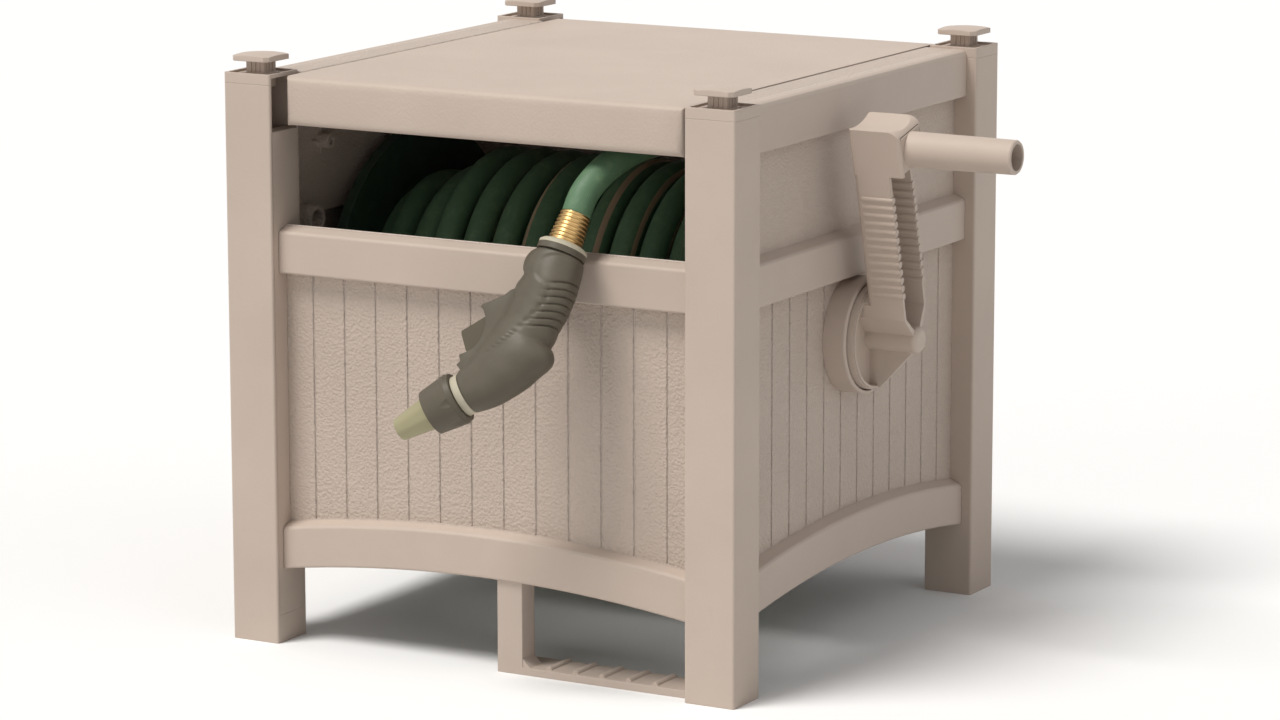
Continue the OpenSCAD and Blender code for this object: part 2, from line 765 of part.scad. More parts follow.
module lid() {
    translate(home) color(resin) difference() {
        union() {
            difference() {
                intersection() {
                    along_x(2 * lid_hw + 2) lid_outer_shape();
                    lid_plan(0, 8);
                }
                intersection() {
                    along_x(2 * lid_hw + 2) lid_inner_shape();
                    lid_plan(wall, 5);
                }
            }
            // stiffening ribs under the top
            for (x = [-0.6, -0.2, 0.2, 0.6])
                translate([x * lid_hw - 1, lid_front + lid_roll, skirt_z + 1])
                    cube([2, hinge_y - lid_front - lid_roll - barrel_r, lid_top - wall - skirt_z]);
            for (y = [-0.45, -0.05, 0.35])
                translate([wall / 2 - lid_hw, y * box_d, skirt_z + 1])
                    cube([2 * lid_hw - wall, 2, lid_top - wall - skirt_z]);
            // hinge knuckles
            for (s = [-1, 1])
                translate([s * (lid_hw - knuckle_l / 2), hinge_y, hinge_z]) rotate([0, 90, 0])
                    cylinder(h = knuckle_l, r = barrel_r - 0.4, center = true);
        }
        for (s = [-1, 1]) translate([s * lid_hw, hinge_y, hinge_z]) rotate([0, 90, 0])
            cylinder(h = 2 * knuckle_l + 4, r = hinge_pin_r + run_gap, center = true);
    }
}

// blocks in the niches of the rear posts that carry the hinge pins
module hinge_block() {
    x0 = post_w - 0.2;
    w = post_d - 2 * wall - 2 * fit;
    difference() {
        translate([x0 - 28, wall + fit, cover_z1 + 0.2])
            cube([28, w, box_h - cap_h - 2 - cover_z1]);
        translate([x0 - 25, wall + fit + 3, cover_z1 - 1])
            cube([22, w - 6, 20]);
        translate([x0 - 50, box_d / 2 - hinge_y, hinge_z]) rotate([0, 90, 0])
            cylinder(h = 60, r = hinge_pin_r + 0.02);
        translate([post_w / 2 - stem_w / 2 - 1, post_d / 2 - stem_w / 2 - 1, box_h - 15])
            cube([stem_w + 2, stem_w + 2, 20]);
    }
}

module hinge_blocks() {
    translate(home) color(resin_dark) for (sx = [-1, 1]) at_corner(sx, 1) hinge_block();
}

module hinge_pins() {
    translate(home) color(steel) for (s = [-1, 1])
        translate([s * (lid_hw - knuckle_l + 4 + 20), hinge_y, hinge_z]) rotate([0, 90, 0])
            cylinder(h = 40, r = hinge_pin_r, center = true);
}

// Bearings and water inlet

module crank_bearing() {
    translate(home) color(resin_dark) difference() {
        union() {
            translate([board_x, 0, axle_z]) rotate([0, 90, 0]) rotate_extrude() {
                square([cup_r - cup_edge, cup_x - board_x]);
                square([cup_r, cup_x - board_x - cup_edge]);
                translate([cup_r - cup_edge, cup_x - board_x - cup_edge])
                    circle(cup_edge, $fn = 32);
            }
            rod_x(hub_in_x, cup_floor_x, bearing_tube_r);
        }
        rod_x(cup_floor_x, cup_x + 1, disc_r + disc_gap);
        rod_x(hub_in_x - 1, cup_x, bearing_r);
        difference() {
            rod_x(board_x - 1, cup_floor_x - wall, cup_r - wall);
            rod_x(board_x - 2, cup_x, bearing_tube_r);
            for (a = [45:90:315])
                translate([0, cup_screw_pcd * cos(a), cup_screw_pcd * sin(a)])
                    rod_x(board_x - 2, cup_x, 5);
            for (a = [0:45:315]) translate([board_x - 2, 0, axle_z]) rotate([a, 0, 0])
                translate([0, -1.2, 0]) cube([30, 2.4, cup_r]);
        }
        for (a = [45:90:315])
            translate([0, cup_screw_pcd * cos(a), cup_screw_pcd * sin(a)])
                rod_x(board_x - 1, cup_floor_x - wall, screw_r);
    }
}

module screw_x(x_head, x_tip, head) {
    s = x_tip > x_head ? 1 : -1;
    rod_x(min(x_head, x_tip), max(x_head, x_tip), screw_r);
    rod_x(min(x_head, x_head - s * head), max(x_head, x_head - s * head), 2 * screw_r);
}

module crank_bearing_screws() {
    translate(home) color(steel) for (a = [45:90:315])
        translate([0, cup_screw_pcd * cos(a), cup_screw_pcd * sin(a)])
            screw_x(board_in_x, board_x + 9, 2.4);
}

module inlet_bearing() {
    translate(home) color(resin_dark) difference() {
        union() {
            rod_x(-board_x - 4, -board_x, inlet_flange_r);
            rod_x(-board_x - 4, -hub_in_x, bearing_tube_r);
            rod_x(-board_x - 9, -board_x - 4 + eps, inlet_seat_r);
        }
        rod_x(-board_x - 10, -hub_in_x + 1, bearing_r);
        for (a = [45:90:315])
            translate([0, inlet_screw_pcd * cos(a), inlet_screw_pcd * sin(a)])
                rod_x(-board_x - 5, -board_x + 1, screw_r);
    }
}

module inlet_bearing_screws() {
    translate(home) color(steel) for (a = [45:90:315])
        translate([0, inlet_screw_pcd * cos(a), inlet_screw_pcd * sin(a)])
            screw_x(-board_in_x, -board_x - 3.4, 2.4);
}

inlet_x = -board_x - 9;                       // seat of the inlet on its bearing
o_ring_xs = [-hub_in_x + 4, -hub_in_x + 10];
o_ring_r = 0.9;

module water_inlet() {
    translate(home) color(brass) difference() {
        union() {
            rod_x(inlet_x - 5, inlet_x, inlet_seat_r);
            rod_x(inlet_x - 5 - thread_l, inlet_x - 5 + eps, thread_r);
            rod_x(inlet_x - eps, -hub_in_x + 16, spout_r);
        }
        rod_x(inlet_x - 6 - thread_l, -hub_in_x + 17, spout_bore_r);
        for (x = o_ring_xs) difference() {
            rod_x(x - 1.2, x + 1.2, spout_r + 1);
            rod_x(x - 2, x + 2, spout_r - 1.5);
        }
        for (a = [0:30:330]) translate([inlet_x - 6, 0, axle_z]) rotate([a, 0, 0])
            translate([0, 0, inlet_seat_r]) rotate([0, 90, 0]) cylinder(h = 7, r = 2, $fn = 16);
    }
}

module o_rings() {
    translate(home) color(rubber) for (x = o_ring_xs) translate([x, 0, axle_z]) rotate([0, 90, 0])
        rotate_extrude() translate([spout_r - 1.5 + o_ring_r + 0.02, 0]) circle(o_ring_r, $fn = 20);
}

// Reel

axle_bore_r = spout_r + 0.35;
drum_seat = 1.5;
flange_screw_r = 30;

module flange_disc(s) {
    // a dished sheet with a rolled rim and radial ribs on its outer side
    difference() {
        union() {
            translate([s * face_x, 0, axle_z]) rotate([0, s * 90, 0]) {
                cylinder(h = flange_t, r = flange_r);
                difference() {
                    cylinder(h = flange_t + 6, r = flange_r);
                    translate([0, 0, -1]) cylinder(h = flange_t + 9, r = flange_r - wall);
                }
                for (a = [0:45:315]) rotate([0, 0, a]) translate([30, -1.25, flange_t - eps])
                    cube([flange_r - 31, 2.5, 4]);
            }
            translate([s * face_x, 0, axle_z]) rotate([0, s * 90, 0])
                cylinder(h = flange_t + 5, r = 36);
        }
        translate([s * (face_x - 1), 0, axle_z]) rotate([0, s * 90, 0]) difference() {
            cylinder(h = drum_seat + 1, r = drum_r + 0.1);
            cylinder(h = drum_seat + 1, r = drum_r - wall - 0.1);
        }
        for (a = [45:90:315]) translate([0, flange_screw_r * cos(a), flange_screw_r * sin(a)]) {
            rod_x(s * (face_x + flange_t / 2) - 20, s * (face_x + flange_t / 2) + 20,
                screw_r + fit);
            rod_x(s * (flange_out + 3) - 3, s * (flange_out + 3) + 3, 2 * screw_r + fit);
        }
    }
}

module flange_left() {
    translate(home) color(green_dark) difference() {
        union() {
            flange_disc(-1);
            rod_x(-board_x - 8, -face_x, journal_r);
        }
        rod_x(-board_x - 9, -face_x + 5, axle_r + 0.2);
    }
}

module flange_right() {
    translate(home) color(green_dark) difference() {
        union() {
            flange_disc(1);
            crank_frame() translate([flange_out - eps, -square_w / 2, -square_w / 2])
                cube([square_l, square_w, square_w]);
        }
        rod_x(face_x - 5, flange_out + 40, screw_r + 1.3);
    }
}

module drum() {
    x1 = face_x + drum_seat;
    translate(home) color(green_dark) difference() {
        union() {
            difference() {
                rod_x(-x1, x1, drum_r);
                rod_x(-x1 - 1, x1 + 1, drum_r - wall);
            }
            difference() {
                for (s = [-1, 1], a = [45:90:315])
                    translate([0, flange_screw_r * cos(a), flange_screw_r * sin(a)])
                        rod_x(s * (face_x - 10) - 10, s * (face_x - 10) + 10, 6);
                rod_x(-x1 - 30, x1 + 30, 22);
            }
        }
        for (s = [-1, 1], a = [45:90:315])
            translate([0, flange_screw_r * cos(a), flange_screw_r * sin(a)])
                rod_x(s * face_x - 18, s * face_x + 18, screw_r);
        translate([elbow_x, 0, axle_z]) cylinder(h = drum_r + 10, r = elbow_r + fit);
    }
}

module drum_screws() {
    translate(home) color(steel) for (s = [-1, 1], a = [45:90:315])
        translate([0, flange_screw_r * cos(a), flange_screw_r * sin(a)])
            screw_x(s * flange_out, s * (face_x - 12), 2.4);
}

elbow_x = -150;
elbow_r = 11.5;

// carries the water from the inlet to the hose's inner end, and turns with the drum
module water_axle() {
    translate(home) color(brass) difference() {
        union() {
            rod_x(-board_x - 8, elbow_x + elbow_r + 2.5, axle_r);
            translate([elbow_x, 0, axle_z])
                cylinder(h = sqrt(drum_r * drum_r - elbow_r * elbow_r) - fit, r = elbow_r);
        }
        rod_x(-board_x - 9, elbow_x, axle_bore_r);
        translate([elbow_x, 0, axle_z]) cylinder(h = drum_r + 1, r = 8);
    }
}

// the deeper layers of hose, plain, with a low end where the outer layer comes up
module hose_pack() {
    low_x = layer_x(layer_from) + 17;
    translate(home) color(green) difference() {
        union() {
            rod_x(low_x, face_x - fit, pack_r);
            rod_x(-face_x + fit, low_x + 1, pack_low_r);
        }
        rod_x(-face_x, face_x, drum_r + 0.1);
    }
}

module hose_winding() {
    translate(home) color(green) tube_along(wind_path, hose_r, 6);
}

module hose_run() {
    translate(home) color(green) tube_along(run_path, hose_r, 10);
}

// Crank

module crank_frame() {
    translate([0, 0, axle_z]) rotate([crank_tilt, 0, 0]) children();
}

// section of the channel: x outwards from its back, y across
module channel_section() {
    r = 5;
    difference() {
        union() {
            translate([0, -arm_w / 2 + r]) square([r, arm_w - 2 * r]);
            translate([r, -arm_w / 2]) square([arm_d - r, arm_w]);
            for (s = [-1, 1]) translate([r, s * (arm_w / 2 - r)]) circle(r, $fn = 32);
        }
        translate([arm_wall, -channel_w / 2]) square([arm_d, channel_w]);
    }
}

module rod_local(x0, x1, r) {
    translate([x0, 0, 0]) rotate([0, 90, 0]) cylinder(h = x1 - x0, r = r);
}

// round ribs that wrap both faces and the edge of each leg of the channel
module grip_ribs() {
    for (s = [-1, 1], i = [0:rib_n - 1])
        translate([arm_x + 6, s * (arm_w / 2 - arm_wall / 2), 50 + i * rib_pitch])
            rotate([0, 90, 0])
                cylinder(h = arm_d - 6 + rib_out, r = arm_wall / 2 + rib_out, $fn = 20);
}

// the block that carries the handle: it closes the top of the channel
module crank_block() {
    h = block_top - block_low;
    difference() {
        translate([arm_x, 0, block_low]) intersection() {
            linear_extrude(h) translate([0, -arm_w / 2])
                rounded_rect(block_x - arm_x, arm_w, 3);
            along_y(arm_w + 2) union() {
                square([block_x - arm_x - 12, h]);
                square([block_x - arm_x, h - 12]);
                translate([block_x - arm_x - 12, h - 12]) circle(12);
            }
        }
        translate([arm_x + arm_wall, -channel_w / 2, block_low - 1])
            cube([block_x, channel_w, h + 1 - (block_up - handle_r - 0.5)]);
        // saddle across the top
        translate([arm_x - 1, 0, block_top + 57]) rotate([0, 90, 0])
            cylinder(h = 80, r = 60, $fn = 120);
        translate([pivot_x, 0, pivot_h]) rotate([90, 0, 0])
            cylinder(h = arm_w - 2.4, r = 3.02, center = true);
    }
}

module crank_arm() {
    nose_r = 5;
    translate(home) color(resin) crank_frame() difference() {
        union() {
            // disc with a sunk face
            difference() {
                union() {
                    rod_local(disc_x, disc_front - 1.5, disc_r);
                    rod_local(disc_front - 1.5 - eps, disc_front, disc_r - 1);
                }
                rod_local(disc_x + 4, disc_front + 1, disc_r - 3.5);
            }
            rod_local(hub_in_x + 1, disc_x + eps, journal_r);
            // boss with a rounded nose
            rod_local(disc_x + 1, hub_nose - nose_r, hub_r);
            translate([hub_nose - nose_r, 0, 0]) rotate([0, 90, 0])
                rotate_extrude() intersection() {
                    union() {
                        translate([hub_r - nose_r, 0]) circle(nose_r, $fn = 32);
                        square([hub_r - nose_r, nose_r]);
                    }
                    square([hub_r, nose_r]);
                }
            // channel, its grip ribs and the block
            translate([arm_x, 0, arm_foot]) linear_extrude(block_low - arm_foot + eps)
                channel_section();
            grip_ribs();
            crank_block();
            // legs and back run in to the disc below the rim
            for (s = [-1, 1])
                translate([disc_x + 1, s * (arm_w / 2 - arm_wall / 2) - arm_wall / 2, arm_foot])
                    cube([arm_x - disc_x + 6, arm_wall, 12]);
            intersection() {
                rod_local(disc_x + 3, arm_x + 1, disc_r - 2);
                translate([disc_x + 2, -arm_w / 2 + 1, arm_foot + 1])
                    cube([arm_x - disc_x, arm_w - 2, disc_r]);
            }
            // sloping feet from the legs to the boss
            for (s = [-1, 1])
                translate([(disc_x + 1 + arm_out) / 2, 0, 0])
                    along_x(arm_out - disc_x - 1) polygon([
                        [s * arm_w / 2, arm_foot], [s * channel_w / 2, arm_foot],
                        [s * 2, 7], [s * 7, 4]]);
            translate([(disc_x + 1 + arm_x + arm_wall) / 2, 0, 0])
                along_x(arm_x + arm_wall - disc_x - 1) polygon([
                    [arm_w / 2, arm_foot + 3], [-arm_w / 2, arm_foot + 3], [-7, 4], [7, 4]]);
            // fin below the boss
            rotate([-12, 0, 0]) along_y(4) polygon([
                [disc_x + 1, -hub_r + 2], [hub_nose - 8, -hub_r + 2], [hub_nose - 10, -hub_r - 2],
                [disc_front + 2, -disc_r + 2], [disc_front - 2, -disc_r + 1],
                [disc_x + 1, -disc_r + 2]]);
        }
        // square socket for the reel, and the bore of the crank screw
        translate([hub_in_x, -square_w / 2 - 0.1, -square_w / 2 - 0.1])
            cube([disc_x - 4 - hub_in_x, square_w + 0.2, square_w + 0.2]);
        rod_local(disc_x - 6, disc_x + 30, 3);
    }
}

// holds the crank on the reel, driven from inside the drum
module crank_screw() {
    translate(home) color(steel) {
        rod_x(face_x - 2, disc_x + 26, 3);
        rod_x(face_x - 6, face_x - 2 + eps, 7);
    }
}

module pivot_pin() {
    translate(home) color(steel) crank_frame() translate([pivot_x, 0, pivot_h]) rotate([90, 0, 0])
        cylinder(h = arm_w - 3, r = 3, center = true);
}

// drawn standing out; it folds down into the channel
module handle() {
    root_r = handle_r - 0.3;
    front = block_x - 0.3;
    translate(home) color(resin) crank_frame() difference() {
        union() {
            translate([pivot_x, 0, pivot_h]) along_y(channel_w - 0.8) {
                circle(root_r);
                translate([0, -root_r]) square([front - pivot_x, 2 * root_r]);
            }
            translate([front - 2, 0, pivot_h]) rotate([0, 90, 0])
                cylinder(h = handle_l + 1, r1 = root_r, r2 = handle_tip_r);
            translate([front + handle_l - 1 - eps, 0, pivot_h]) rotate([0, 90, 0])
                cylinder(h = 1.3, r1 = handle_tip_r, r2 = handle_tip_r - 1);
        }
        translate([front + handle_l - 70, 0, pivot_h]) rotate([0, 90, 0])
            cylinder(h = 80, r = handle_bore_r);
        translate([pivot_x, 0, pivot_h]) rotate([90, 0, 0])
            cylinder(h = arm_w, r = 3 + run_gap, center = true);
    }
}

// Hose end and nozzle

module nozzle_frame() {
    translate(nozzle_at) rotate([nozzle_lean, 0, 0]) children();
}

module inlet_frame() {
    nozzle_frame() rotate([0, inlet_turn, 0]) children();
}

module outlet_frame() {
    nozzle_frame() translate(outlet_at) rotate([0, outlet_turn, 0]) children();
}

module hose_ferrule() {
    translate(home) color(brass) inlet_frame() translate([0, 0, 2]) {
        cylinder(h = ferrule_l, r1 = 14.6, r2 = 12.6);
        for (i = [0:ridge_n - 1])
            translate([0, 0, 1.2 + i * (ferrule_l - 3) / (ridge_n - 1)]) rotate_extrude()
                translate([14.6 - 2 * (1.2 + i * (ferrule_l - 3) / (ridge_n - 1)) / ferrule_l, 0])
                    circle(1, $fn = 12);
    }
}

module hose_nut() {
    translate(home) color(cream) inlet_frame() translate([0, 0, 2 - nut_l]) difference() {
        union() {
            cylinder(h = nut_l - 2, r = nut_r);
            translate([0, 0, nut_l - 2 - eps]) cylinder(h = 2, r1 = nut_r, r2 = nut_r - 2.5);
        }
        translate([0, 0, -1]) cylinder(h = nut_l - 1, r = 13);
    }
}

grip_all = concat(
    [[grip_in + grip_in_r * [-cos(inlet_turn), sin(inlet_turn)],
        grip_in - grip_in_r * [-cos(inlet_turn), sin(inlet_turn)], 0.92 * grip_in_r]],
    grip,
    [[grip_out + grip_out_r * [cos(outlet_turn), -sin(outlet_turn)],
        grip_out - grip_out_r * [cos(outlet_turn), -sin(outlet_turn)], 0.92 * grip_out_r]]);

function grip_ring(g, n) = let (c = (g[0] + g[1]) / 2, h = (g[0] - g[1]) / 2)
    [for (k = [0:n - 1]) [
        c[0] + h[0] * cos(360 * k / n), g[2] * sin(360 * k / n), c[1] + h[1] * cos(360 * k / n)]];

module grip_body() {
    n = 20;
    m = len(grip_all);
    skin = [for (i = [0:m - 2], k = [0:n - 1]) each [
        [i * n + k, (i + 1) * n + k, i * n + (k + 1) % n],
        [(i + 1) * n + k, (i + 1) * n + (k + 1) % n, i * n + (k + 1) % n]]];
    caps = [for (k = [1:n - 2]) each [
        [0, k, k + 1], [(m - 1) * n, (m - 1) * n + k + 1, (m - 1) * n + k]]];
    polyhedron([for (g = grip_all) each grip_ring(g, n)], concat(skin, caps));
}

module trigger_sweep() {
    // the room that the trigger needs, from rest to fully pressed
    for (a = [-trigger_swing - 2, -trigger_swing / 2, 0, 2])
        translate([trigger_pivot[0], trigger_pivot[1]]) rotate(a)
            translate([-trigger_pivot[0], -trigger_pivot[1]]) polygon(trigger_shape);
    translate(trigger_pivot) circle(7.5, $fn = 32);
    polygon(concat([trigger_pivot], arc(trigger_pivot,
        norm(trigger_shape[0] - trigger_pivot) + move_gap,
        trigger_top, trigger_top - 6 - trigger_swing, 8)));
    polygon([[-44, -64], [-80, -64], [-80, -104], [-64, -104], [-52, -100]]);
}

module nozzle_body() {
    translate(home) color(grip_grey) nozzle_frame() difference() {
        union() {
            grip_body();
            // finger guards on both sides of the trigger
            along_y(trigger_t + 9) polygon([
                [-22, -40], [-33.5, -46], [-38, -51], [-56, -60.5], [-58, -62.5], [-51, -71.5],
                [-48.5, -84], [-52, -97], [-60, -104.5], [-66, -107.5], [-65.5, -109.5],
                [-63.5, -113], [-66, -117], [-60, -122], [-40, -118], [-20, -90]]);
        }
        along_y(trigger_t + 1) trigger_sweep();
        translate([trigger_pivot[0], 0, trigger_pivot[1]]) rotate([90, 0, 0])
            cylinder(h = trigger_t + 6.4, r = 2.02, center = true);
    }
}

module nozzle_trigger() {
    translate(home) color(grip_grey * 0.8) nozzle_frame() difference() {
        union() {
            along_y(trigger_t) difference() {
                union() {
                    polygon(trigger_shape);
                    translate(trigger_pivot) circle(6, $fn = 32);
                }
            }
        }
        translate([trigger_pivot[0], 0, trigger_pivot[1]]) rotate([90, 0, 0])
            cylinder(h = 60, r = 2 + run_gap, center = true);
    }
}

module trigger_pin() {
    translate(home) color(steel) nozzle_frame() translate([trigger_pivot[0], 0, trigger_pivot[1]])
        rotate([90, 0, 0]) cylinder(h = trigger_t + 6, r = 2, center = true);
}

module nozzle_barrel() {
    translate(home) color(cream) outlet_frame() difference() {
        union() {
            cylinder(h = 6.5, r = band_r);
            cylinder(h = 7 + collar_l, r = spindle_r);
        }
        translate([0, 0, 2]) cylinder(h = 80, r = 7);
    }
}

module nozzle_collar() {
    translate(home) color(grip_grey) outlet_frame() translate([0, 0, 6.5 + move_gap]) difference() {
        union() {
            cylinder(h = 4, r1 = collar_r - 1.5, r2 = collar_r);
            translate([0, 0, 4 - eps])
                cylinder(h = collar_l - 5, r1 = collar_r, r2 = collar_r - 3.4);
        }
        translate([0, 0, -1]) cylinder(h = collar_l + 4, r = spindle_r + run_gap);
        for (a = [0:60:300]) rotate([0, 0, a]) translate([collar_r + 7.6, 0, 5])
            cylinder(h = collar_l, r = 9, $fn = 40);
    }
}

module nozzle_tip() {
    translate(home) color(cream) outlet_frame() translate([0, 0, 7 + collar_l]) difference() {
        union() {
            cylinder(h = tip_l - 2, r1 = 15.5, r2 = 10.6);
            translate([0, 0, tip_l - 2 - eps]) cylinder(h = 2, r1 = 10.6, r2 = 9);
        }
        translate([0, 0, -1]) cylinder(h = 8, r = 7);
        translate([0, 0, 5]) cylinder(h = tip_l, r = 6);
    }
}

post_front_left();
post_front_right();
post_rear_left();
post_rear_right();
post_covers();
post_caps();
finials();
front_panel();
right_panel();
left_panel();
rear_panel();
foot_brace();
lid();
hinge_blocks();
hinge_pins();
crank_bearing();
crank_bearing_screws();
inlet_bearing();
inlet_bearing_screws();
water_inlet();
o_rings();
flange_left();
flange_right();
drum();
drum_screws();
water_axle();
hose_pack();
hose_winding();
hose_run();
crank_arm();
crank_screw();
pivot_pin();
handle();
hose_ferrule();
hose_nut();
nozzle_body();
nozzle_trigger();
trigger_pin();
nozzle_barrel();
nozzle_collar();
nozzle_tip();
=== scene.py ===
"""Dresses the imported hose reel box: resin walls and lid, green hose on its reel, and nozzle."""

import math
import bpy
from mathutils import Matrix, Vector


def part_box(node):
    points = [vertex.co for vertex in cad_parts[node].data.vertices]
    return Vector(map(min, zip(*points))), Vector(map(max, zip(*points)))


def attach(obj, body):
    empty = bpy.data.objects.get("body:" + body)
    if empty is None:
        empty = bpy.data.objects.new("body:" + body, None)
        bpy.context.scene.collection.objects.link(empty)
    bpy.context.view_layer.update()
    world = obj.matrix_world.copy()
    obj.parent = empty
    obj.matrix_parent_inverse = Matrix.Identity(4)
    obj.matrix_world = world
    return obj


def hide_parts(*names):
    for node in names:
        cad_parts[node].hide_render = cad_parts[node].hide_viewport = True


bl_info = {
    "name": "Hose Reel Box Finishes",
    "version": (1, 0, 0),
    "blender": (4, 5, 0),
    "location": "3D View > Sidebar > Hose Reel Box",
    "description": "Gives the hose reel box its resin, hose, brass and nozzle finishes",
    "category": "Object",
}

import bmesh
import bpy
from mathutils import Matrix, Vector

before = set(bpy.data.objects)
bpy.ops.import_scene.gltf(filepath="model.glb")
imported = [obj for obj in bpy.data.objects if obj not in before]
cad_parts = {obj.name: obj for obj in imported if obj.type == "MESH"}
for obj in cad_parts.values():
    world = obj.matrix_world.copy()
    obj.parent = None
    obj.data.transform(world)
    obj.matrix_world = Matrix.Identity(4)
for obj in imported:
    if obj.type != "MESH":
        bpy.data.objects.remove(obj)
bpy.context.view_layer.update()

MM = 0.001

# From the middle of the cabinet to the middle of the whole, where the frame has its origin
HOME = Vector((-75.95, 0, 0))

# The hose, in the millimetres and degrees of the part's own source
AXLE_Z = 281
HOSE_D = 25.4
LAYER_R = 128
TURN_PITCH = 30
TURNS = 11
LAST_X = 187
CLIMB_R = LAYER_R + HOSE_D + 1.1
CLIMB_FROM = 180
CLIMB_TO = 348
LAYER_FROM = 180 - 360 * TURNS + 90
DIVE = 300
DEEP_R = LAYER_R - HOSE_D - 0.6
# How far the ends of the layer lean sideways off its screw line, and how early the dive does
CLIMB_LEAN, CLIMB_RETURN, DIVE_LEAN, DIVE_HASTE = 4, 9, 9, 1.6
# The deeper layer, and the plain core that fills what is under it
DEEP_HALF, DEEP_TURNS, CORE_L, CORE_SIDES = 194, 14, 412, 72
# Steps and sides of the hoses' meshes, and how fast their stripe turns, in turns for each metre
TURN_STEPS, DEEP_STEPS, RUN_STEPS = 56, 40, 6
TURN_SIDES, DEEP_SIDES, RUN_SIDES = 20, 14, 24
TURN_TWIST, RUN_TWIST = 0.113, 0.1
TURN_STRIPE_FROM, RUN_STRIPE_FROM = 0.30, 0.18

# The free hose from the winding to its ferrule, with a straight piece at each end
STRAIGHT = 0.75 * HOSE_D
RUN_POINTS = [
    (175, 161.3, 311.8), (175.1, 156.9, 330.8), (174.4, 149.8, 348.9), (173, 140.5, 366),
    (170.8, 129.5, 382), (168.3, 116.8, 396.6), (165.4, 102.9, 409.9), (162.3, 87.7, 421.7),
    (159.1, 71.5, 432.1), (155.9, 54.4, 441), (152.9, 36.5, 448.3), (149.9, 18.2, 454.2),
    (147.1, -0.7, 458.6), (144.5, -19.7, 461.7), (142, -39, 463.8), (139.5, -58.3, 465),
    (136.9, -77.6, 465.7), (134.3, -97, 466.1), (131.4, -116.3, 466.1), (128.3, -135.5, 465.6),
    (124.7, -154.7, 464.5), (120.8, -173.7, 462.1), (116.2, -192.2, 458),
    (111.2, -209.8, 451.2), (105.9, -225.7, 441.3),
]
RUN_END = Vector((99.1, -249.3, 411.8))
NOZZLE_LEAN = math.radians(-30)
INLET_TURN = math.radians(6.9)
INLET_DIR = Vector((
    math.sin(INLET_TURN),
    -math.cos(INLET_TURN) * math.sin(NOZZLE_LEAN),
    math.cos(INLET_TURN) * math.cos(NOZZLE_LEAN),
))
FERRULE_L = 28
NOZZLE_AT = RUN_END - (FERRULE_L + 2) * INLET_DIR
# How far along its axis the nut's pale rim starts
RIM_FROM = -2.6
OUTLET_AT = (-54.5, -137.5)
OUTLET_TURN = math.radians(-125)

# The tip: where it starts past the outlet, its length and radii, the rounding of its eight
# edges and of its rim, its wall, and the share of its length that is open
TIP_FROM, TIP_L, TIP_R, TIP_END_R = 37, 32, 15.5, 10.6
TIP_SIDES, TIP_EDGE, TIP_RIM, TIP_WALL, TIP_BORE = 8, 2.4, 2.2, 1.6, 0.8

# Sections of the nozzle's grip in its own upright plane: the edge on the trigger's side,
# the edge at the back, half the thickness, and how far a guard stands out past the grip
GRIP = [
    ((-21.4, -5.8), (19.4, -10.8), 18.9, 0), ((-26.5, -8.5), (21.6, -14), 20, 0),
    ((-30, -13.5), (22.4, -20), 20.8, 0), ((-31.2, -19.5), (22.6, -27), 21.4, 0),
    ((-30.2, -25), (22.6, -33), 21.6, 0), ((-28, -29.5), (22.2, -38), 21.6, 0),
    ((-30, -34.5), (21.9, -43.5), 21.5, 0), ((-32.6, -39.5), (21.4, -48.5), 21.3, 0),
    ((-33.4, -45), (20.6, -54), 21, 0), ((-33.4, -49.5), (19.8, -59), 20.8, 1),
    ((-39, -53.8), (18.6, -63.5), 20.6, 5), ((-48, -58.8), (17, -68), 20.5, 13),
    ((-56.4, -63.7), (15.6, -72.5), 20.4, 20.5), ((-54, -67.5), (14.6, -76), 20.4, 16),
    ((-49.6, -71), (14.2, -80), 20.5, 9), ((-47, -75), (13.2, -84.5), 20.6, 5),
    ((-46.6, -80.5), (11.6, -88.9), 20.9, 3), ((-48, -86), (13.8, -91.5), 21.2, 2),
    ((-50.5, -91), (16.6, -95.5), 21.6, 1.5), ((-53, -95.8), (17.8, -100), 21.8, 2),
    ((-55.6, -100.5), (17, -104.5), 21.9, 3), ((-59.6, -104.6), (13.2, -109.6), 21.8, 5),
    ((-64, -108.4), (7.5, -116), 21.4, 7), ((-60.6, -112.8), (1, -124), 20.8, 1.5),
    ((-62.6, -116.2), (-8, -132.5), 19.8, 0.5), ((-65.2, -119.4), (-22, -143.2), 18.6, 0),
    ((-65.6, -121), (-34, -149.3), 17.8, 0), ((-65, -121.9), (-43.4, -152.7), 17.3, 0),
]
GRIP_STEPS, GRIP_SIDES = 8, 72
# A hollow for the thumb with its middle, half width and half height, a moulded crease, and the
# finger grooves that start at the back edge: the first one's level, the step between them and
# their number. Each has its depth, a crease or groove its width, and the grooves how far they
# sweep down
THUMB = ((9.5, -26.5), 20, 14.5)
THUMB_DEEP = 0.9
CREASE = [(9.7, -41), (6.7, -55.2), (-1.8, -69.3), (-11.9, -83.4), (-25.6, -98), (-37.3, -107.4)]
CREASE_DEEP, CREASE_W = 1.4, 0.7
GROOVE_FROM, GROOVE_STEP, GROOVE_N = -33.5, -6.6, 7
GROOVE_DEEP, GROOVE_W, GROOVE_SWEEP = 1.8, 0.75, 9
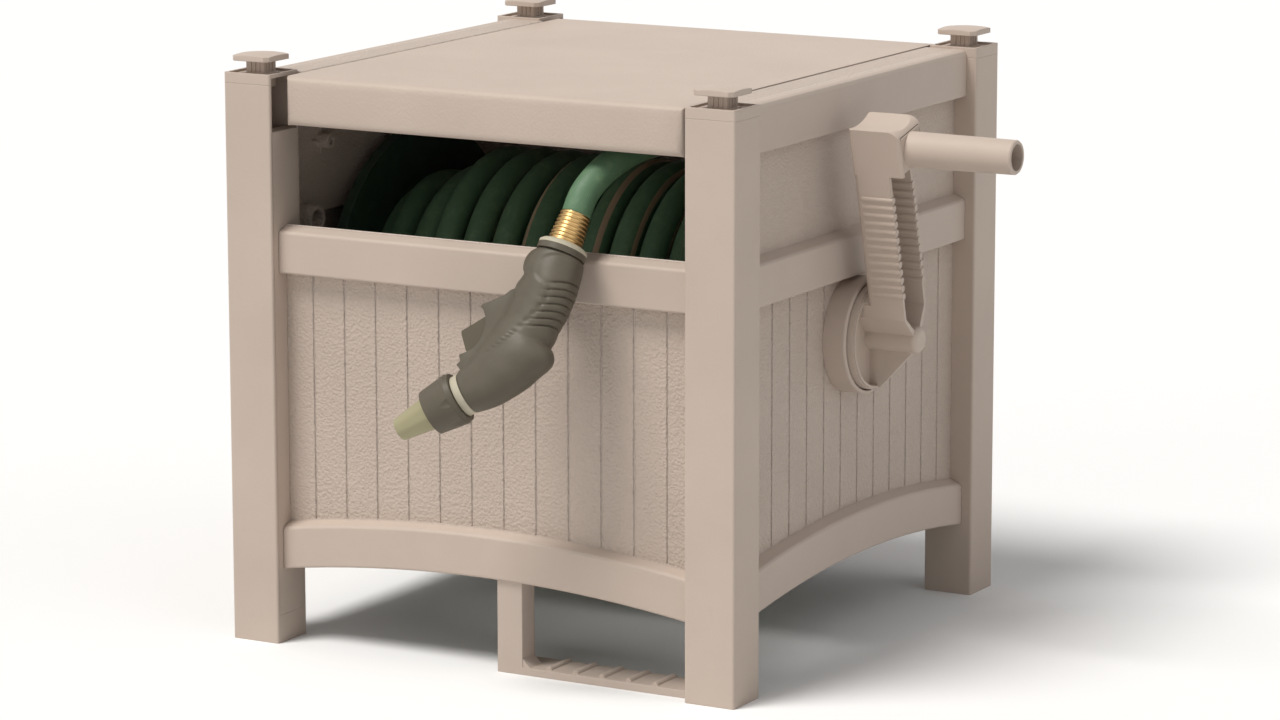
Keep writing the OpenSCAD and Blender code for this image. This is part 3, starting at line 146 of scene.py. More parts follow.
# The guards on both sides of the trigger, and the slot that it swings in, each with its outline
# and how far it reaches to both sides
GUARDS = [
    (-22, -40), (-33.5, -46), (-38, -51), (-47, -56), (-56, -60.5), (-58, -62.5), (-54, -66.5),
    (-51, -71.5), (-49, -77.5), (-48.5, -84), (-49.5, -90.5), (-52, -97), (-55.5, -101.5),
    (-60, -104.5), (-66, -107.5), (-65.5, -109.5), (-63.5, -113), (-66, -117), (-60, -122),
    (-40, -118), (-20, -90),
]
GUARD_OUT, GUARD_EDGE = 11.5, 1.6
SLOT = [
    (-80, -63.5), (-46, -63.5), (-37, -66), (-36.5, -84), (-42, -103), (-46.5, -111),
    (-54, -112.5), (-61, -110.5), (-66, -104.2), (-80, -104.2),
]
SLOT_OUT = 7.5

# The lid, in metres: its wall, the depth of its flap and the height of its rear skirt, the
# roundings of its upright corners, front edge and rear edge, the place and radius of its hinge
# barrel and the room at its ends, and its ribs: their thickness, how far their lower and upper
# edges lie under the top, how far they stay from the front, rear and sides, and where they are
LID_WALL, FLAP_DEEP, SKIRT_H = 0.003, 0.012, 0.0115
LID_CORNER_R, LID_FRONT_R, LID_REAR_R = 0.008, 0.0075, 0.0098
BARREL_IN, BARREL_R, BARREL_GAP, BARREL_SIDES = 0.010, 0.0096, 0.0004, 40
RIB_T, RIB_LOW, RIB_HIGH = 0.002, 0.0105, 0.0022
RIB_FRONT, RIB_REAR, RIB_SIDE = 0.016, 0.012, 0.002
RIBS_ACROSS, RIBS_ALONG = (-0.2295, -0.0255, 0.1785), (-0.6, -0.2, 0.2, 0.6)
# Places this near each other, in metres, are the same
SAME, ALMOST = 0.00001, 0.0001

# Distance of the boards' faces from the cabinet's middle, in metres, and the band under them that
# holds the bottoms of their grooves, which get painted light to lift their shade
BOARDS_AT = 0.2345
GROOVE_BAND = (0.0035, 0.0016)

# Grain of the resin: the softness of its cells, the heights of its cells and of its fine part,
# and the size of the fine part as a share of a pebble
CELL_SOFTNESS, CELL_HEIGHT, FINE_HEIGHT, FINE_SHARE = 0.6, 0.9, 0.55, 0.45
# Detail and roughness of every fine noise, and the size of the nozzle's
FINE = (3.0, 0.6)
NOZZLE_GRAIN = 0.0012
# The hose's lengthwise ridges, and what its chalky patches multiply its colour by
RIDGES, RIDGE_HEIGHT = 44, 0.4
CHALK = (2.6, 1.9, 1.9)
BEVEL_SAMPLES = 6

# Colours that aren't worth a setting
STEEL, RUBBER = (0.55, 0.55, 0.56), (0.012, 0.012, 0.012)
FLOOR_LIT, FLOOR_SEEN = (0.8, 0.8, 0.8), (0.94, 0.94, 0.94)

# The stage: half the floor, the strength of the studio's even light, and its lamps, each with the
# way that it shines, its strength, its spread in degrees and its tone
FLOOR_HALF = 60
STUDIO = 0.27
LAMPS = [
    ("key light", (0.25, 0.41, -0.88), 2.55, 24, (1.0, 0.98, 0.95)),
    ("side light", (-0.7, 0.1, -0.65), 0.34, 50, (1.0, 1.0, 1.0)),
    ("front fill", (0.2, 0.93, -0.3), 0.32, 40, (1.0, 0.99, 0.97)),
]

# Where the photograph was taken from
CAMERA_AT = (2.03335, -3.7020, 1.0665)
CAMERA_RIGHT = (0.87107, 0.49115, -0.00150)
CAMERA_UP = (-0.09284, 0.16765, 0.98147)
CAMERA_BACK = (0.48230, -0.85479, 0.19163)
CAMERA_LENS = 134.27


class HoseBoxFinishes(bpy.types.PropertyGroup):
    """Colours of the box, in linear light"""

    resin_light: bpy.props.FloatVectorProperty(
        name="Posts, rails and lid", description="Taupe resin of the posts, rails and lid",
        subtype="COLOR", size=3, min=0, max=1, default=(0.535, 0.440, 0.371),
    )
    resin_side: bpy.props.FloatVectorProperty(
        name="Walls", description="Taupe resin of the side and rear walls",
        subtype="COLOR", size=3, min=0, max=1, default=(0.535, 0.442, 0.376),
    )
    hose: bpy.props.FloatVectorProperty(
        name="Hose", description="Green cover of the hose",
        subtype="COLOR", size=3, min=0, max=1, default=(0.104, 0.196, 0.108),
    )
    hose_stripe: bpy.props.FloatVectorProperty(
        name="Hose stripe", description="Narrow stripe along the hose",
        subtype="COLOR", size=3, min=0, max=1, default=(0.420, 0.310, 0.200),
    )
    reel: bpy.props.FloatVectorProperty(
        name="Reel", description="Dark green plastic of the reel's flanges and drum",
        subtype="COLOR", size=3, min=0, max=1, default=(0.036, 0.062, 0.044),
    )
    brass: bpy.props.FloatVectorProperty(
        name="Brass", description="Ferrule, water inlet and axle",
        subtype="COLOR", size=3, min=0, max=1, default=(0.530, 0.350, 0.150),
    )
    grip: bpy.props.FloatVectorProperty(
        name="Nozzle grip", description="Grey-brown grip and collar of the nozzle",
        subtype="COLOR", size=3, min=0, max=1, default=(0.100, 0.085, 0.061),
    )
    trigger: bpy.props.FloatVectorProperty(
        name="Trigger", description="Darker plastic of the trigger",
        subtype="COLOR", size=3, min=0, max=1, default=(0.072, 0.059, 0.034),
    )
    cream: bpy.props.FloatVectorProperty(
        name="Nozzle fittings", description="Cream nut and band",
        subtype="COLOR", size=3, min=0, max=1, default=(0.500, 0.455, 0.345),
    )
    tip: bpy.props.FloatVectorProperty(
        name="Nozzle tip", description="Pale olive tip that the water leaves by",
        subtype="COLOR", size=3, min=0, max=1, default=(0.338, 0.308, 0.183),
    )


class HoseBoxSizes(bpy.types.PropertyGroup):
    """Sizes that a user might change"""

    pebble: bpy.props.FloatProperty(
        name="Pebble", description="Size of the grain moulded into the boards",
        default=0.0025, min=0.001, max=0.01, unit="LENGTH",
    )
    pebble_depth: bpy.props.FloatProperty(
        name="Pebble depth", description="Depth of that grain",
        default=0.00105, min=0.0, max=0.003, unit="LENGTH",
    )
    edge: bpy.props.FloatProperty(
        name="Edge", description="Rounding that the light shows on moulded edges",
        default=0.0014, min=0.0, max=0.005, unit="LENGTH",
    )
    stripe: bpy.props.FloatProperty(
        name="Stripe share", description="Share of the hose's girth that the stripe takes",
        default=0.07, min=0.0, max=0.3, subtype="FACTOR",
    )


def finishes():
    return bpy.context.scene.hose_box_finishes


def sizes():
    return bpy.context.scene.hose_box_sizes


# Materials


class Finish:
    """One node-based material, with short ways to add and join its nodes."""

    def __init__(self, name):
        self.material = bpy.data.materials.new(name)
        self.material.use_nodes = True
        self.nodes = self.material.node_tree.nodes
        self.links = self.material.node_tree.links
        self.nodes.clear()
        self.shader = self.nodes.new("ShaderNodeBsdfPrincipled")
        out = self.nodes.new("ShaderNodeOutputMaterial")
        self.links.new(self.shader.outputs["BSDF"], out.inputs["Surface"])
        self.place = self.nodes.new("ShaderNodeTexCoord")

    def add(self, kind, **inputs):
        node = self.nodes.new(kind)
        for name, value in inputs.items():
            self.put(node.inputs[name.replace("_", " ")], value)
        return node

    def put(self, socket, value):
        if isinstance(value, bpy.types.NodeSocket):
            self.links.new(value, socket)
        else:
            socket.default_value = value

    def math(self, operation, a, b=0.0, clamp=False):
        node = self.nodes.new("ShaderNodeMath")
        node.operation = operation
        node.use_clamp = clamp
        self.put(node.inputs[0], a)
        self.put(node.inputs[1], b)
        return node.outputs[0]

    def noise(self, size, detail, roughness=0.5):
        node = self.add(
            "ShaderNodeTexNoise", Scale=1.0 / size, Detail=detail, Roughness=roughness)
        self.links.new(self.place.outputs["Object"], node.inputs["Vector"])
        return node.outputs["Fac"]

    def blend(self, share, a, b):
        node = self.nodes.new("ShaderNodeMix")
        node.data_type = "RGBA"
        self.put(node.inputs["Factor"], share)
        for name, color in (("A", a), ("B", b)):
            if not isinstance(color, bpy.types.NodeSocket):
                color = (*color, 1.0)
            self.put(node.inputs[name], color)
        return node.outputs["Result"]

    def spread(self, value, low, high, to_low, to_high):
        node = self.add("ShaderNodeMapRange")
        node.clamp = True
        for i, v in enumerate((value, low, high, to_low, to_high)):
            self.put(node.inputs[i], v)
        return node.outputs[0]

    def patches(self, size, detail, roughness, low, high, most=1.0):
        """Blotches of about a size: 0 where their noise is under low, up to most over high."""
        return self.spread(self.noise(size, detail, roughness), low, high, 0.0, most)

    def relief(self, height, depth, strength, edge=0.0):
        bump = self.add("ShaderNodeBump", Strength=strength, Distance=depth)
        self.links.new(height, bump.inputs["Height"])
        if edge:
            bevel = self.add("ShaderNodeBevel", Radius=edge)
            bevel.samples = BEVEL_SAMPLES
            self.links.new(bevel.outputs["Normal"], bump.inputs["Normal"])
        self.links.new(bump.outputs["Normal"], self.shader.inputs["Normal"])

    def finished(self, color, fine, least, most, specular=0.5):
        """The material, with a colour, a roughness that follows a fine noise, and its gloss."""
        self.put(self.shader.inputs["Base Color"], color)
        self.put(self.shader.inputs["Roughness"], self.spread(fine, 0.3, 0.7, least, most))
        self.put(self.shader.inputs["Specular IOR Level"], specular)
        return self.material


def seen_rays(nodes, links):
    """1 for the rays that show the studio to the camera, direct or by gloss or glass, else 0."""
    rays = nodes.new("ShaderNodeLightPath")
    seen = rays.outputs["Is Camera Ray"]
    for kind in ("Is Glossy Ray", "Is Transmission Ray"):
        more = nodes.new("ShaderNodeMath")
        more.operation = "MAXIMUM"
        links.new(seen, more.inputs[0])
        links.new(rays.outputs[kind], more.inputs[1])
        seen = more.outputs[0]
    return seen


def tint(color, factor):
    """A colour made darker or lighter."""
    return tuple(min(1.0, c * factor) for c in color)


def resin_finish(name, color, pebble_share, edge=None, groove=None):
    """Pebbled resin. A wall has boards set back from its rails, which carry the grain in full,
    and its grooves get painted light that pales them by the amount in groove, to lift their
    shade."""
    f = Finish(name)
    s = sizes()
    cells = f.add("ShaderNodeTexVoronoi", Scale=1.0 / s.pebble, Randomness=1.0)
    cells.feature = "SMOOTH_F1"
    cells.inputs["Smoothness"].default_value = CELL_SOFTNESS
    f.links.new(f.place.outputs["Object"], cells.inputs["Vector"])
    fine = f.noise(FINE_SHARE * s.pebble, *FINE)
    grain = f.math("ADD", f.math("MULTIPLY", cells.outputs["Distance"], CELL_HEIGHT),
                   f.math("MULTIPLY", fine, FINE_HEIGHT))
    share, painted_groove_light = pebble_share, None
    if groove is not None:
        axes = f.add("ShaderNodeSeparateXYZ")
        f.links.new(f.place.outputs["Object"], axes.inputs[0])
        across = f.math("SUBTRACT", axes.outputs["X"], HOME.x * MM)
        out = f.math("MAXIMUM", f.math("ABSOLUTE", across),
                     f.math("ABSOLUTE", axes.outputs["Y"]))
        on_boards = f.math("LESS_THAN", out, BOARDS_AT)
        deep, shallow = (BOARDS_AT - depth for depth in GROOVE_BAND)
        # the bottoms of the boards' grooves, where painted light lifts their shade
        painted_groove_light = f.math("MULTIPLY", f.math("GREATER_THAN", out, deep),
                      f.math("LESS_THAN", out, shallow))
        share = f.math("ADD", f.math("MULTIPLY", on_boards, 1.0 - pebble_share), pebble_share)
    height = f.math("MULTIPLY", grain, share)
    f.relief(height, depth=s.pebble_depth, strength=1.0, edge=edge or s.edge)
    cloud = f.patches(size=0.11, detail=4.0, roughness=0.55, low=0.3, high=0.7)
    body = f.blend(cloud, tint(color, 0.955), tint(color, 1.03))
    pits = f.spread(height, 0.35, 1.0, 0.0, 0.05)
    dirt = f.patches(size=0.018, detail=5.0, roughness=0.7, low=0.62, high=0.8, most=0.18)
    shown = f.blend(f.math("ADD", pits, dirt, clamp=True), body, tint(color, 0.72))
    # painted light: the grooves' colour is raised by groove to offset the shade in them
    if painted_groove_light is not None:
        shown = f.blend(painted_groove_light, shown, tuple(min(1.0, c + groove) for c in color))
    f.put(f.shader.inputs["IOR"], 1.46)
    return f.finished(shown, fine, least=0.50, most=0.64, specular=0.38)


def hose_finish(name, color, stripe_from=None):
    """Vinyl hose cover: fine lengthwise ridges, chalky scuffs and one narrow stripe."""
    f = Finish(name)
    uv = f.add("ShaderNodeUVMap")
    uv.uv_map = "girth"
    axes = f.add("ShaderNodeSeparateXYZ")
    f.links.new(uv.outputs["UV"], axes.inputs[0])
    scuff = f.patches(size=0.012, detail=5.0, roughness=0.65, low=0.5, high=0.78, most=0.32)
    speck = f.patches(size=0.0022, detail=2.0, roughness=0.5, low=0.7, high=0.82, most=0.4)
    chalky = tuple(c * k for c, k in zip(color, CHALK))
    cover = f.blend(f.math("ADD", scuff, speck, clamp=True), tint(color, 0.9), chalky)
    if stripe_from is not None:
        around = f.math("FRACT", f.math("ADD", axes.outputs["X"], stripe_from))
        on = f.math("LESS_THAN", around, sizes().stripe)
        cover = f.blend(on, cover, finishes().hose_stripe[:])
    turn = f.math("MULTIPLY", axes.outputs["X"], 2 * math.pi * RIDGES)
    ridges = f.math("MULTIPLY", f.math("SINE", turn), RIDGE_HEIGHT)
    skin = f.math("ADD", ridges, f.noise(0.003, detail=3.0))
    f.relief(skin, depth=0.0002, strength=0.5)
    return f.finished(cover, f.noise(0.01, detail=3.0), least=0.42, most=0.6, specular=0.35)


def moulded_finish(name, color, roughness, grain=0.0016, depth=0.00012, edge=0.0008,
                   rub=1.25):
    """Plain moulded plastic with a fine grain and lighter rubbed patches."""
    f = Finish(name)
    fine = f.noise(grain, *FINE)
    f.relief(fine, depth, strength=0.7, edge=edge)
    rubbed = f.patches(size=0.016, detail=4.0, roughness=0.6, low=0.45, high=0.75, most=0.5)
    shown = f.blend(rubbed, tuple(color), tint(color, rub))
    return f.finished(shown, fine, least=roughness - 0.06, most=roughness + 0.08, specular=0.3)


def nut_finish(name, rim, skirt):
    """The nut's pale rim towards the hose, over a skirt in the grip's colour."""
    f = Finish(name)
    along = f.nodes.new("ShaderNodeVectorMath")
    along.operation = "DOT_PRODUCT"
    f.links.new(f.place.outputs["Object"], along.inputs[0])
    along.inputs[1].default_value = INLET_DIR
    past = (HOME + NOZZLE_AT).dot(INLET_DIR) + RIM_FROM
    on_rim = f.math("GREATER_THAN", along.outputs["Value"], past * MM)
    fine = f.noise(NOZZLE_GRAIN, *FINE)
    f.relief(fine, depth=0.00006, strength=0.7, edge=0.0008)
    shown = f.blend(on_rim, tuple(skirt), tuple(rim))
    return f.finished(shown, fine, least=0.36, most=0.5, specular=0.3)


def metal_finish(name, color, roughness, tarnish=0.7):
    """Turned metal with faint tarnish."""
    f = Finish(name)
    fine = f.noise(0.0009, *FINE)
    f.relief(fine, depth=0.00006, strength=0.5, edge=0.0003)
    dull = f.patches(size=0.008, detail=4.0, roughness=0.6, low=0.4, high=0.7, most=0.6)
    f.put(f.shader.inputs["Metallic"], 1.0)
    shown = f.blend(dull, tuple(color), tint(color, tarnish))
    return f.finished(shown, fine, least=roughness, most=roughness + 0.14)


def wear(node, material):
    """Gives a CAD node its finish."""
    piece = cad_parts[node]
    piece.data.materials.clear()
    piece.data.materials.append(material)


# Pieces


def show(name, shape, material, body, slot, *nodes, smooth=35):
    """Puts a finished bmesh in the scene as a piece that rides on a body."""
    mesh = bpy.data.meshes.new(name)
    bmesh.ops.recalc_face_normals(shape, faces=shape.faces)
    shape.to_mesh(mesh)
    shape.free()
    piece = bpy.data.objects.new(name, mesh)
    bpy.context.scene.collection.objects.link(piece)
    mesh.materials.append(material)
    for face in mesh.polygons:
        face.use_smooth = True
    if smooth is not None:
        mesh.set_sharp_from_angle(angle=math.radians(smooth))
    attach(piece, body)
    if nodes:
        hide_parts(*nodes)
    return piece


def tube(path, radius, sides, twist=0.0):
    """A hose swept along points, with its girth in the UV map: across x, along y."""
    shape = bmesh.new()
    girth = shape.loops.layers.uv.new("girth")
    rings, along, done = [], [], 0.0
    for i, point in enumerate(path):
        ahead = (path[min(i + 1, len(path) - 1)] - path[max(i - 1, 0)]).normalized()
        side = (Vector((1, 0, 0)) - ahead.x * ahead).normalized()
        over = ahead.cross(side)
        rings.append([
            shape.verts.new(point + radius * (
                math.cos(2 * math.pi * k / sides) * side
                + math.sin(2 * math.pi * k / sides) * over))
            for k in range(sides)])
        done += (point - path[i - 1]).length if i else 0.0
        along.append(done)
    for i in range(len(path) - 1):
        for k in range(sides):
            j = (k + 1) % sides
            face = shape.faces.new((rings[i][k], rings[i + 1][k], rings[i + 1][j], rings[i][j]))
            for loop, (a, b) in zip(face.loops, ((i, k), (i + 1, k), (i + 1, k + 1), (i, k + 1))):
                loop[girth].uv = (b / sides + twist * along[a], along[a])
    shape.faces.new(rings[0])
    shape.faces.new(rings[-1])
    return shape


def at_home(point):
    """A point of the cabinet's own millimetres in the frame's metres."""
    return (Vector(point) + HOME) * MM


def ease(s):
    """A smooth step from 0 to 1."""
    return s * s * (3 - 2 * s)


def layer_x(angle):
    """How far across the cabinet the outer layer has wound at an angle."""
    return LAST_X + TURN_PITCH * (angle - CLIMB_FROM) / 360


def winding_point(angle):
    """The outer layer of hose at an angle about the axle: 0 behind, 90 above, 180 in front."""
    if angle > CLIMB_FROM:
        s = (angle - CLIMB_FROM) / (CLIMB_TO - CLIMB_FROM)
        x = LAST_X + CLIMB_LEAN * math.sin(math.pi * s) - CLIMB_RETURN * s**3
        r = LAYER_R + (CLIMB_R - LAYER_R) * ease(s)
    elif angle < LAYER_FROM:
        s = (LAYER_FROM - angle) / DIVE
        lean = math.sin(math.pi / 2 * min(1, DIVE_HASTE * s))
        x = layer_x(LAYER_FROM) - DIVE_LEAN * lean
        r = LAYER_R - (LAYER_R - DEEP_R) * ease(s)
    else:
        x, r = layer_x(angle), LAYER_R
    a = math.radians(angle)
    return Vector((x, r * math.cos(a), AXLE_Z + r * math.sin(a)))


def winding_end():
    """Where the outer layer ends, a diameter past its last turn, and the way that it points."""
    way = (winding_point(CLIMB_TO) - winding_point(CLIMB_TO - 1)).normalized()
    return winding_point(CLIMB_TO) + HOSE_D * way, way


def smooth_path(points, steps):
    """A Catmull-Rom curve through the points."""
    out = []
    last = len(points) - 1
    for i in range(last):
        a, b, c, d = (points[max(i - 1, 0)], points[i], points[i + 1], points[min(i + 2, last)])
        for k in range(steps):
            t = k / steps
            out.append(0.5 * (
                2 * b + (c - a) * t + (2 * a - 5 * b + 4 * c - d) * t * t
                + (3 * b - a - 3 * c + d) * t**3))
    out.append(points[-1])
    return out


def add_box(shape, low, high):
    """Adds a box between two corners."""
    made = bmesh.ops.create_cube(shape, size=1.0)["verts"]
    low, high = Vector(low), Vector(high)
    bmesh.ops.scale(shape, verts=made, vec=high - low)
    bmesh.ops.translate(shape, verts=made, vec=(low + high) / 2)


def add_rod(shape, radius, length, middle, segments):
    """Adds a closed rod that lies across the cabinet."""
    made = bmesh.ops.create_cone(shape, cap_ends=True, segments=segments, radius1=radius,
                                 radius2=radius, depth=length)["verts"]
    bmesh.ops.rotate(shape, verts=made, cent=(0, 0, 0),
                     matrix=Matrix.Rotation(math.pi / 2, 3, "Y"))
    bmesh.ops.translate(shape, verts=made, vec=middle)


def draw_out(shape, faces, vec):
    """Extrudes faces and moves what was drawn out."""
    drawn = bmesh.ops.extrude_face_region(shape, geom=faces)["geom"]
    bmesh.ops.translate(
        shape, verts=[v for v in drawn if isinstance(v, bmesh.types.BMVert)], vec=vec)


def round_off(shape, edges, radius, segments):
    """Bevels edges with a round profile."""
    bmesh.ops.bevel(shape, geom=edges, offset=radius, segments=segments, profile=0.5,
                    affect="EDGES", material=-1)


def ease_between(value, low, high):
    """A smooth step that starts at low and ends at high."""
    return ease(min(1.0, max(0.0, (value - low) / (high - low))))


def distance_to_line(point, line):
    """Distance from a flat point to a polyline."""
    best = 1e9
    for a, b in zip(line, line[1:]):
        along = b - a
        t = min(1.0, max(0.0, (point - a).dot(along) / along.length_squared))
        best = min(best, (point - a - t * along).length)
    return best


def sunk_at(flat, across, over):
    """How deep the grip's thumb hollow, crease and grooves go at a point of its skin.

    flat is the point seen from the side. across runs from -1 at the back edge to 1 at the
    trigger's, and over from -1 on the side that shows to 1 on the far side.
    """
    sunk = 0.0
    # the hollow and the crease fade out towards the far side, and the grooves towards the trigger
    if over < 0.3:
        near = ease_between(-over, -0.3, 0.2)
        (x, y), half_w, half_h = THUMB
        oval = math.hypot((flat.x - x) / half_w, (flat.y - y) / half_h)
        sunk += THUMB_DEEP * near * (1 - ease_between(oval, 0.9, 1.06))
        off_crease = distance_to_line(flat, [Vector(p) for p in CREASE])
        sunk += CREASE_DEEP * near * math.exp(-(off_crease / CREASE_W) ** 2)
    if across < -0.1:
        reach = ease_between(-across, 0.25, 0.6)
        # the grooves sweep down from the back edge
        level = flat.y + GROOVE_SWEEP * (1 + across) - GROOVE_FROM
        n = round(level / GROOVE_STEP)
        if 0 <= n < GROOVE_N:
            off_groove = level - n * GROOVE_STEP
            sunk += GROOVE_DEEP * reach * math.exp(-(off_groove / GROOVE_W) ** 2)
    return sunk


def grip_shape():
    """The nozzle's grip, lofted through its sections, with guards beside the trigger."""
    rows = [[Vector((*left, 0)), Vector((*back, 0)), Vector((thick, guard, 0))]
            for left, back, thick, guard in GRIP]
    lefts, backs, extras = (
        smooth_path([row[i] for row in rows], GRIP_STEPS) for i in range(3))
    shape, rings = bmesh.new(), []
    for left, back, extra in zip(lefts, backs, extras):
        thick, guard = extra.x, max(0.0, extra.y)
        width = (left - back).length
        toward = (left - back) / width
        half = (width - guard) / 2
        middle = back + half * toward
        ring = []
        for k in range(GRIP_SIDES):
            a = 2 * math.pi * k / GRIP_SIDES
            across, over = math.cos(a), math.sin(a)
            at = middle + half * across * toward
            sunk = sunk_at(Vector((at.x, at.y)), across, over)
            offset = Vector((at.x - middle.x, thick * over, at.y - middle.y))
            offset *= 1 - min(0.5, sunk / max(offset.length, 1.0))
            ring.append(shape.verts.new(Vector((middle.x, 0, middle.y)) + offset))
        rings.append(ring)
    for one, two in zip(rings, rings[1:]):
        for k in range(GRIP_SIDES):
            j = (k + 1) % GRIP_SIDES
            shape.faces.new((one[k], two[k], two[j], one[j]))
    shape.faces.new(rings[0])
    shape.faces.new(rings[-1])
    shape = carved(shape, plate(GUARDS, GUARD_OUT, GUARD_EDGE), plate(SLOT, SLOT_OUT))
    bmesh.ops.transform(shape, matrix=nozzle_place(), verts=shape.verts)
    return shape


def plate(outline, half, edge=0.0):
    """An outline in the nozzle's upright plane, thickened to both sides."""
    shape = bmesh.new()
    face = shape.faces.new([shape.verts.new((x, -half, z)) for x, z in outline])
    draw_out(shape, [face], (0, 2 * half, 0))
    if edge:
        rims = [e for e in shape.edges if abs(e.verts[0].co.y - e.verts[1].co.y) < half]
        round_off(shape, rims, edge, 3)
    return shape


def carved(body, added, cut):
    """Joins a closed shape to another and cuts a third out of both."""
    scene, things = bpy.context.scene, []
    for shape in (body, added, cut):
        bmesh.ops.recalc_face_normals(shape, faces=shape.faces)
        mesh = bpy.data.meshes.new("carving")
        shape.to_mesh(mesh)
        shape.free()
        things.append(bpy.data.objects.new("carving", mesh))
        scene.collection.objects.link(things[-1])
    for thing, operation in ((things[1], "UNION"), (things[2], "DIFFERENCE")):
        step = things[0].modifiers.new(operation, "BOOLEAN")
        step.operation, step.object, step.solver = operation, thing, "EXACT"
    made = bmesh.new()
    made.from_object(things[0], bpy.context.evaluated_depsgraph_get())
    for thing in things:
        mesh = thing.data
        bpy.data.objects.remove(thing)
        bpy.data.meshes.remove(mesh)
    return made


def tip_shape():
    """The nozzle's tip: an eight-sided cone with soft edges and an open mouth."""
    shape = bmesh.new()
    bmesh.ops.create_cone(shape, cap_ends=True, segments=TIP_SIDES, radius1=TIP_R,
                          radius2=TIP_END_R, depth=TIP_L)
    sides = [e for e in shape.edges if abs(e.verts[0].co.z - e.verts[1].co.z) > TIP_L / 2]
    round_off(shape, sides, TIP_EDGE, 4)
    rim = [e for e in shape.edges if min(v.co.z for v in e.verts) > TIP_L / 2 - 0.01]
    round_off(shape, rim, TIP_RIM, 5)
    mouth = [f for f in shape.faces if f.normal.z > 0.999]
    bmesh.ops.inset_region(shape, faces=mouth, thickness=TIP_WALL, use_even_offset=True)
    draw_out(shape, mouth, (0, 0, -TIP_BORE * TIP_L))
    bmesh.ops.delete(shape, geom=mouth, context="FACES_ONLY")
    out = (Matrix.Translation((OUTLET_AT[0], 0, OUTLET_AT[1]))
           @ Matrix.Rotation(OUTLET_TURN, 4, "Y")
           @ Matrix.Translation((0, 0, TIP_FROM + TIP_L / 2)))
    bmesh.ops.transform(shape, matrix=nozzle_place() @ out, verts=shape.verts)
    return shape


def nozzle_place():
    """From the nozzle's own millimetres to the frame's metres."""
    return (Matrix.Scale(MM, 4) @ Matrix.Translation(HOME + NOZZLE_AT)
            @ Matrix.Rotation(NOZZLE_LEAN, 4, "X"))


# Operators


class HOSEBOX_OT_dress_cabinet(bpy.types.Operator):
    """Give the posts, walls, foot brace and small hardware their finishes"""

    bl_idname = "hosebox.dress_cabinet"
    bl_label = "Dress Cabinet"

    def execute(self, context):
        c = finishes()
        post = resin_finish("post resin", c.resin_light, pebble_share=0.07)
        # the walls' grooves get painted light to lift their shade, less of it on the side and
        # rear walls
        front = resin_finish("front wall resin", c.resin_light, pebble_share=0.07,
                             edge=0.0022, groove=0.2)
        side = resin_finish("side wall resin", c.resin_side, pebble_share=0.07,
                            edge=0.0022, groove=0.08)
        small = resin_finish("small resin parts", c.resin_side, pebble_share=0.06)
        steel = metal_finish("zinc steel", STEEL, roughness=0.34, tarnish=0.8)
        for node in ("post_front_left", "post_front_right", "post_rear_left",
                     "post_rear_right", "post_covers", "post_caps", "finials"):
            wear(node, post)
        wear("front_panel", front)
        for node in ("right_panel", "left_panel", "rear_panel"):
            wear(node, side)
        for node in ("foot_brace", "hinge_blocks", "crank_bearing", "inlet_bearing"):
            wear(node, small)
        for node in ("hinge_pins", "crank_bearing_screws", "inlet_bearing_screws",
                     "drum_screws", "crank_screw", "pivot_pin", "trigger_pin"):
            wear(node, steel)
        wear("o_rings", moulded_finish("o-ring rubber", RUBBER, roughness=0.6))
        brass = metal_finish("brass", c.brass, roughness=0.26)
        for node in ("water_inlet", "water_axle", "hose_ferrule"):
            wear(node, brass)
        return {"FINISHED"}


class HOSEBOX_OT_dress_crank(bpy.types.Operator):
    """Give the crank and its folding handle their finish"""

    bl_idname = "hosebox.dress_crank"
    bl_label = "Dress Crank"

    def execute(self, context):
        resin = resin_finish("crank resin", finishes().resin_light, pebble_share=0.02,
                             edge=0.0007)
        wear("crank_arm", resin)
        wear("handle", resin)
        return {"FINISHED"}


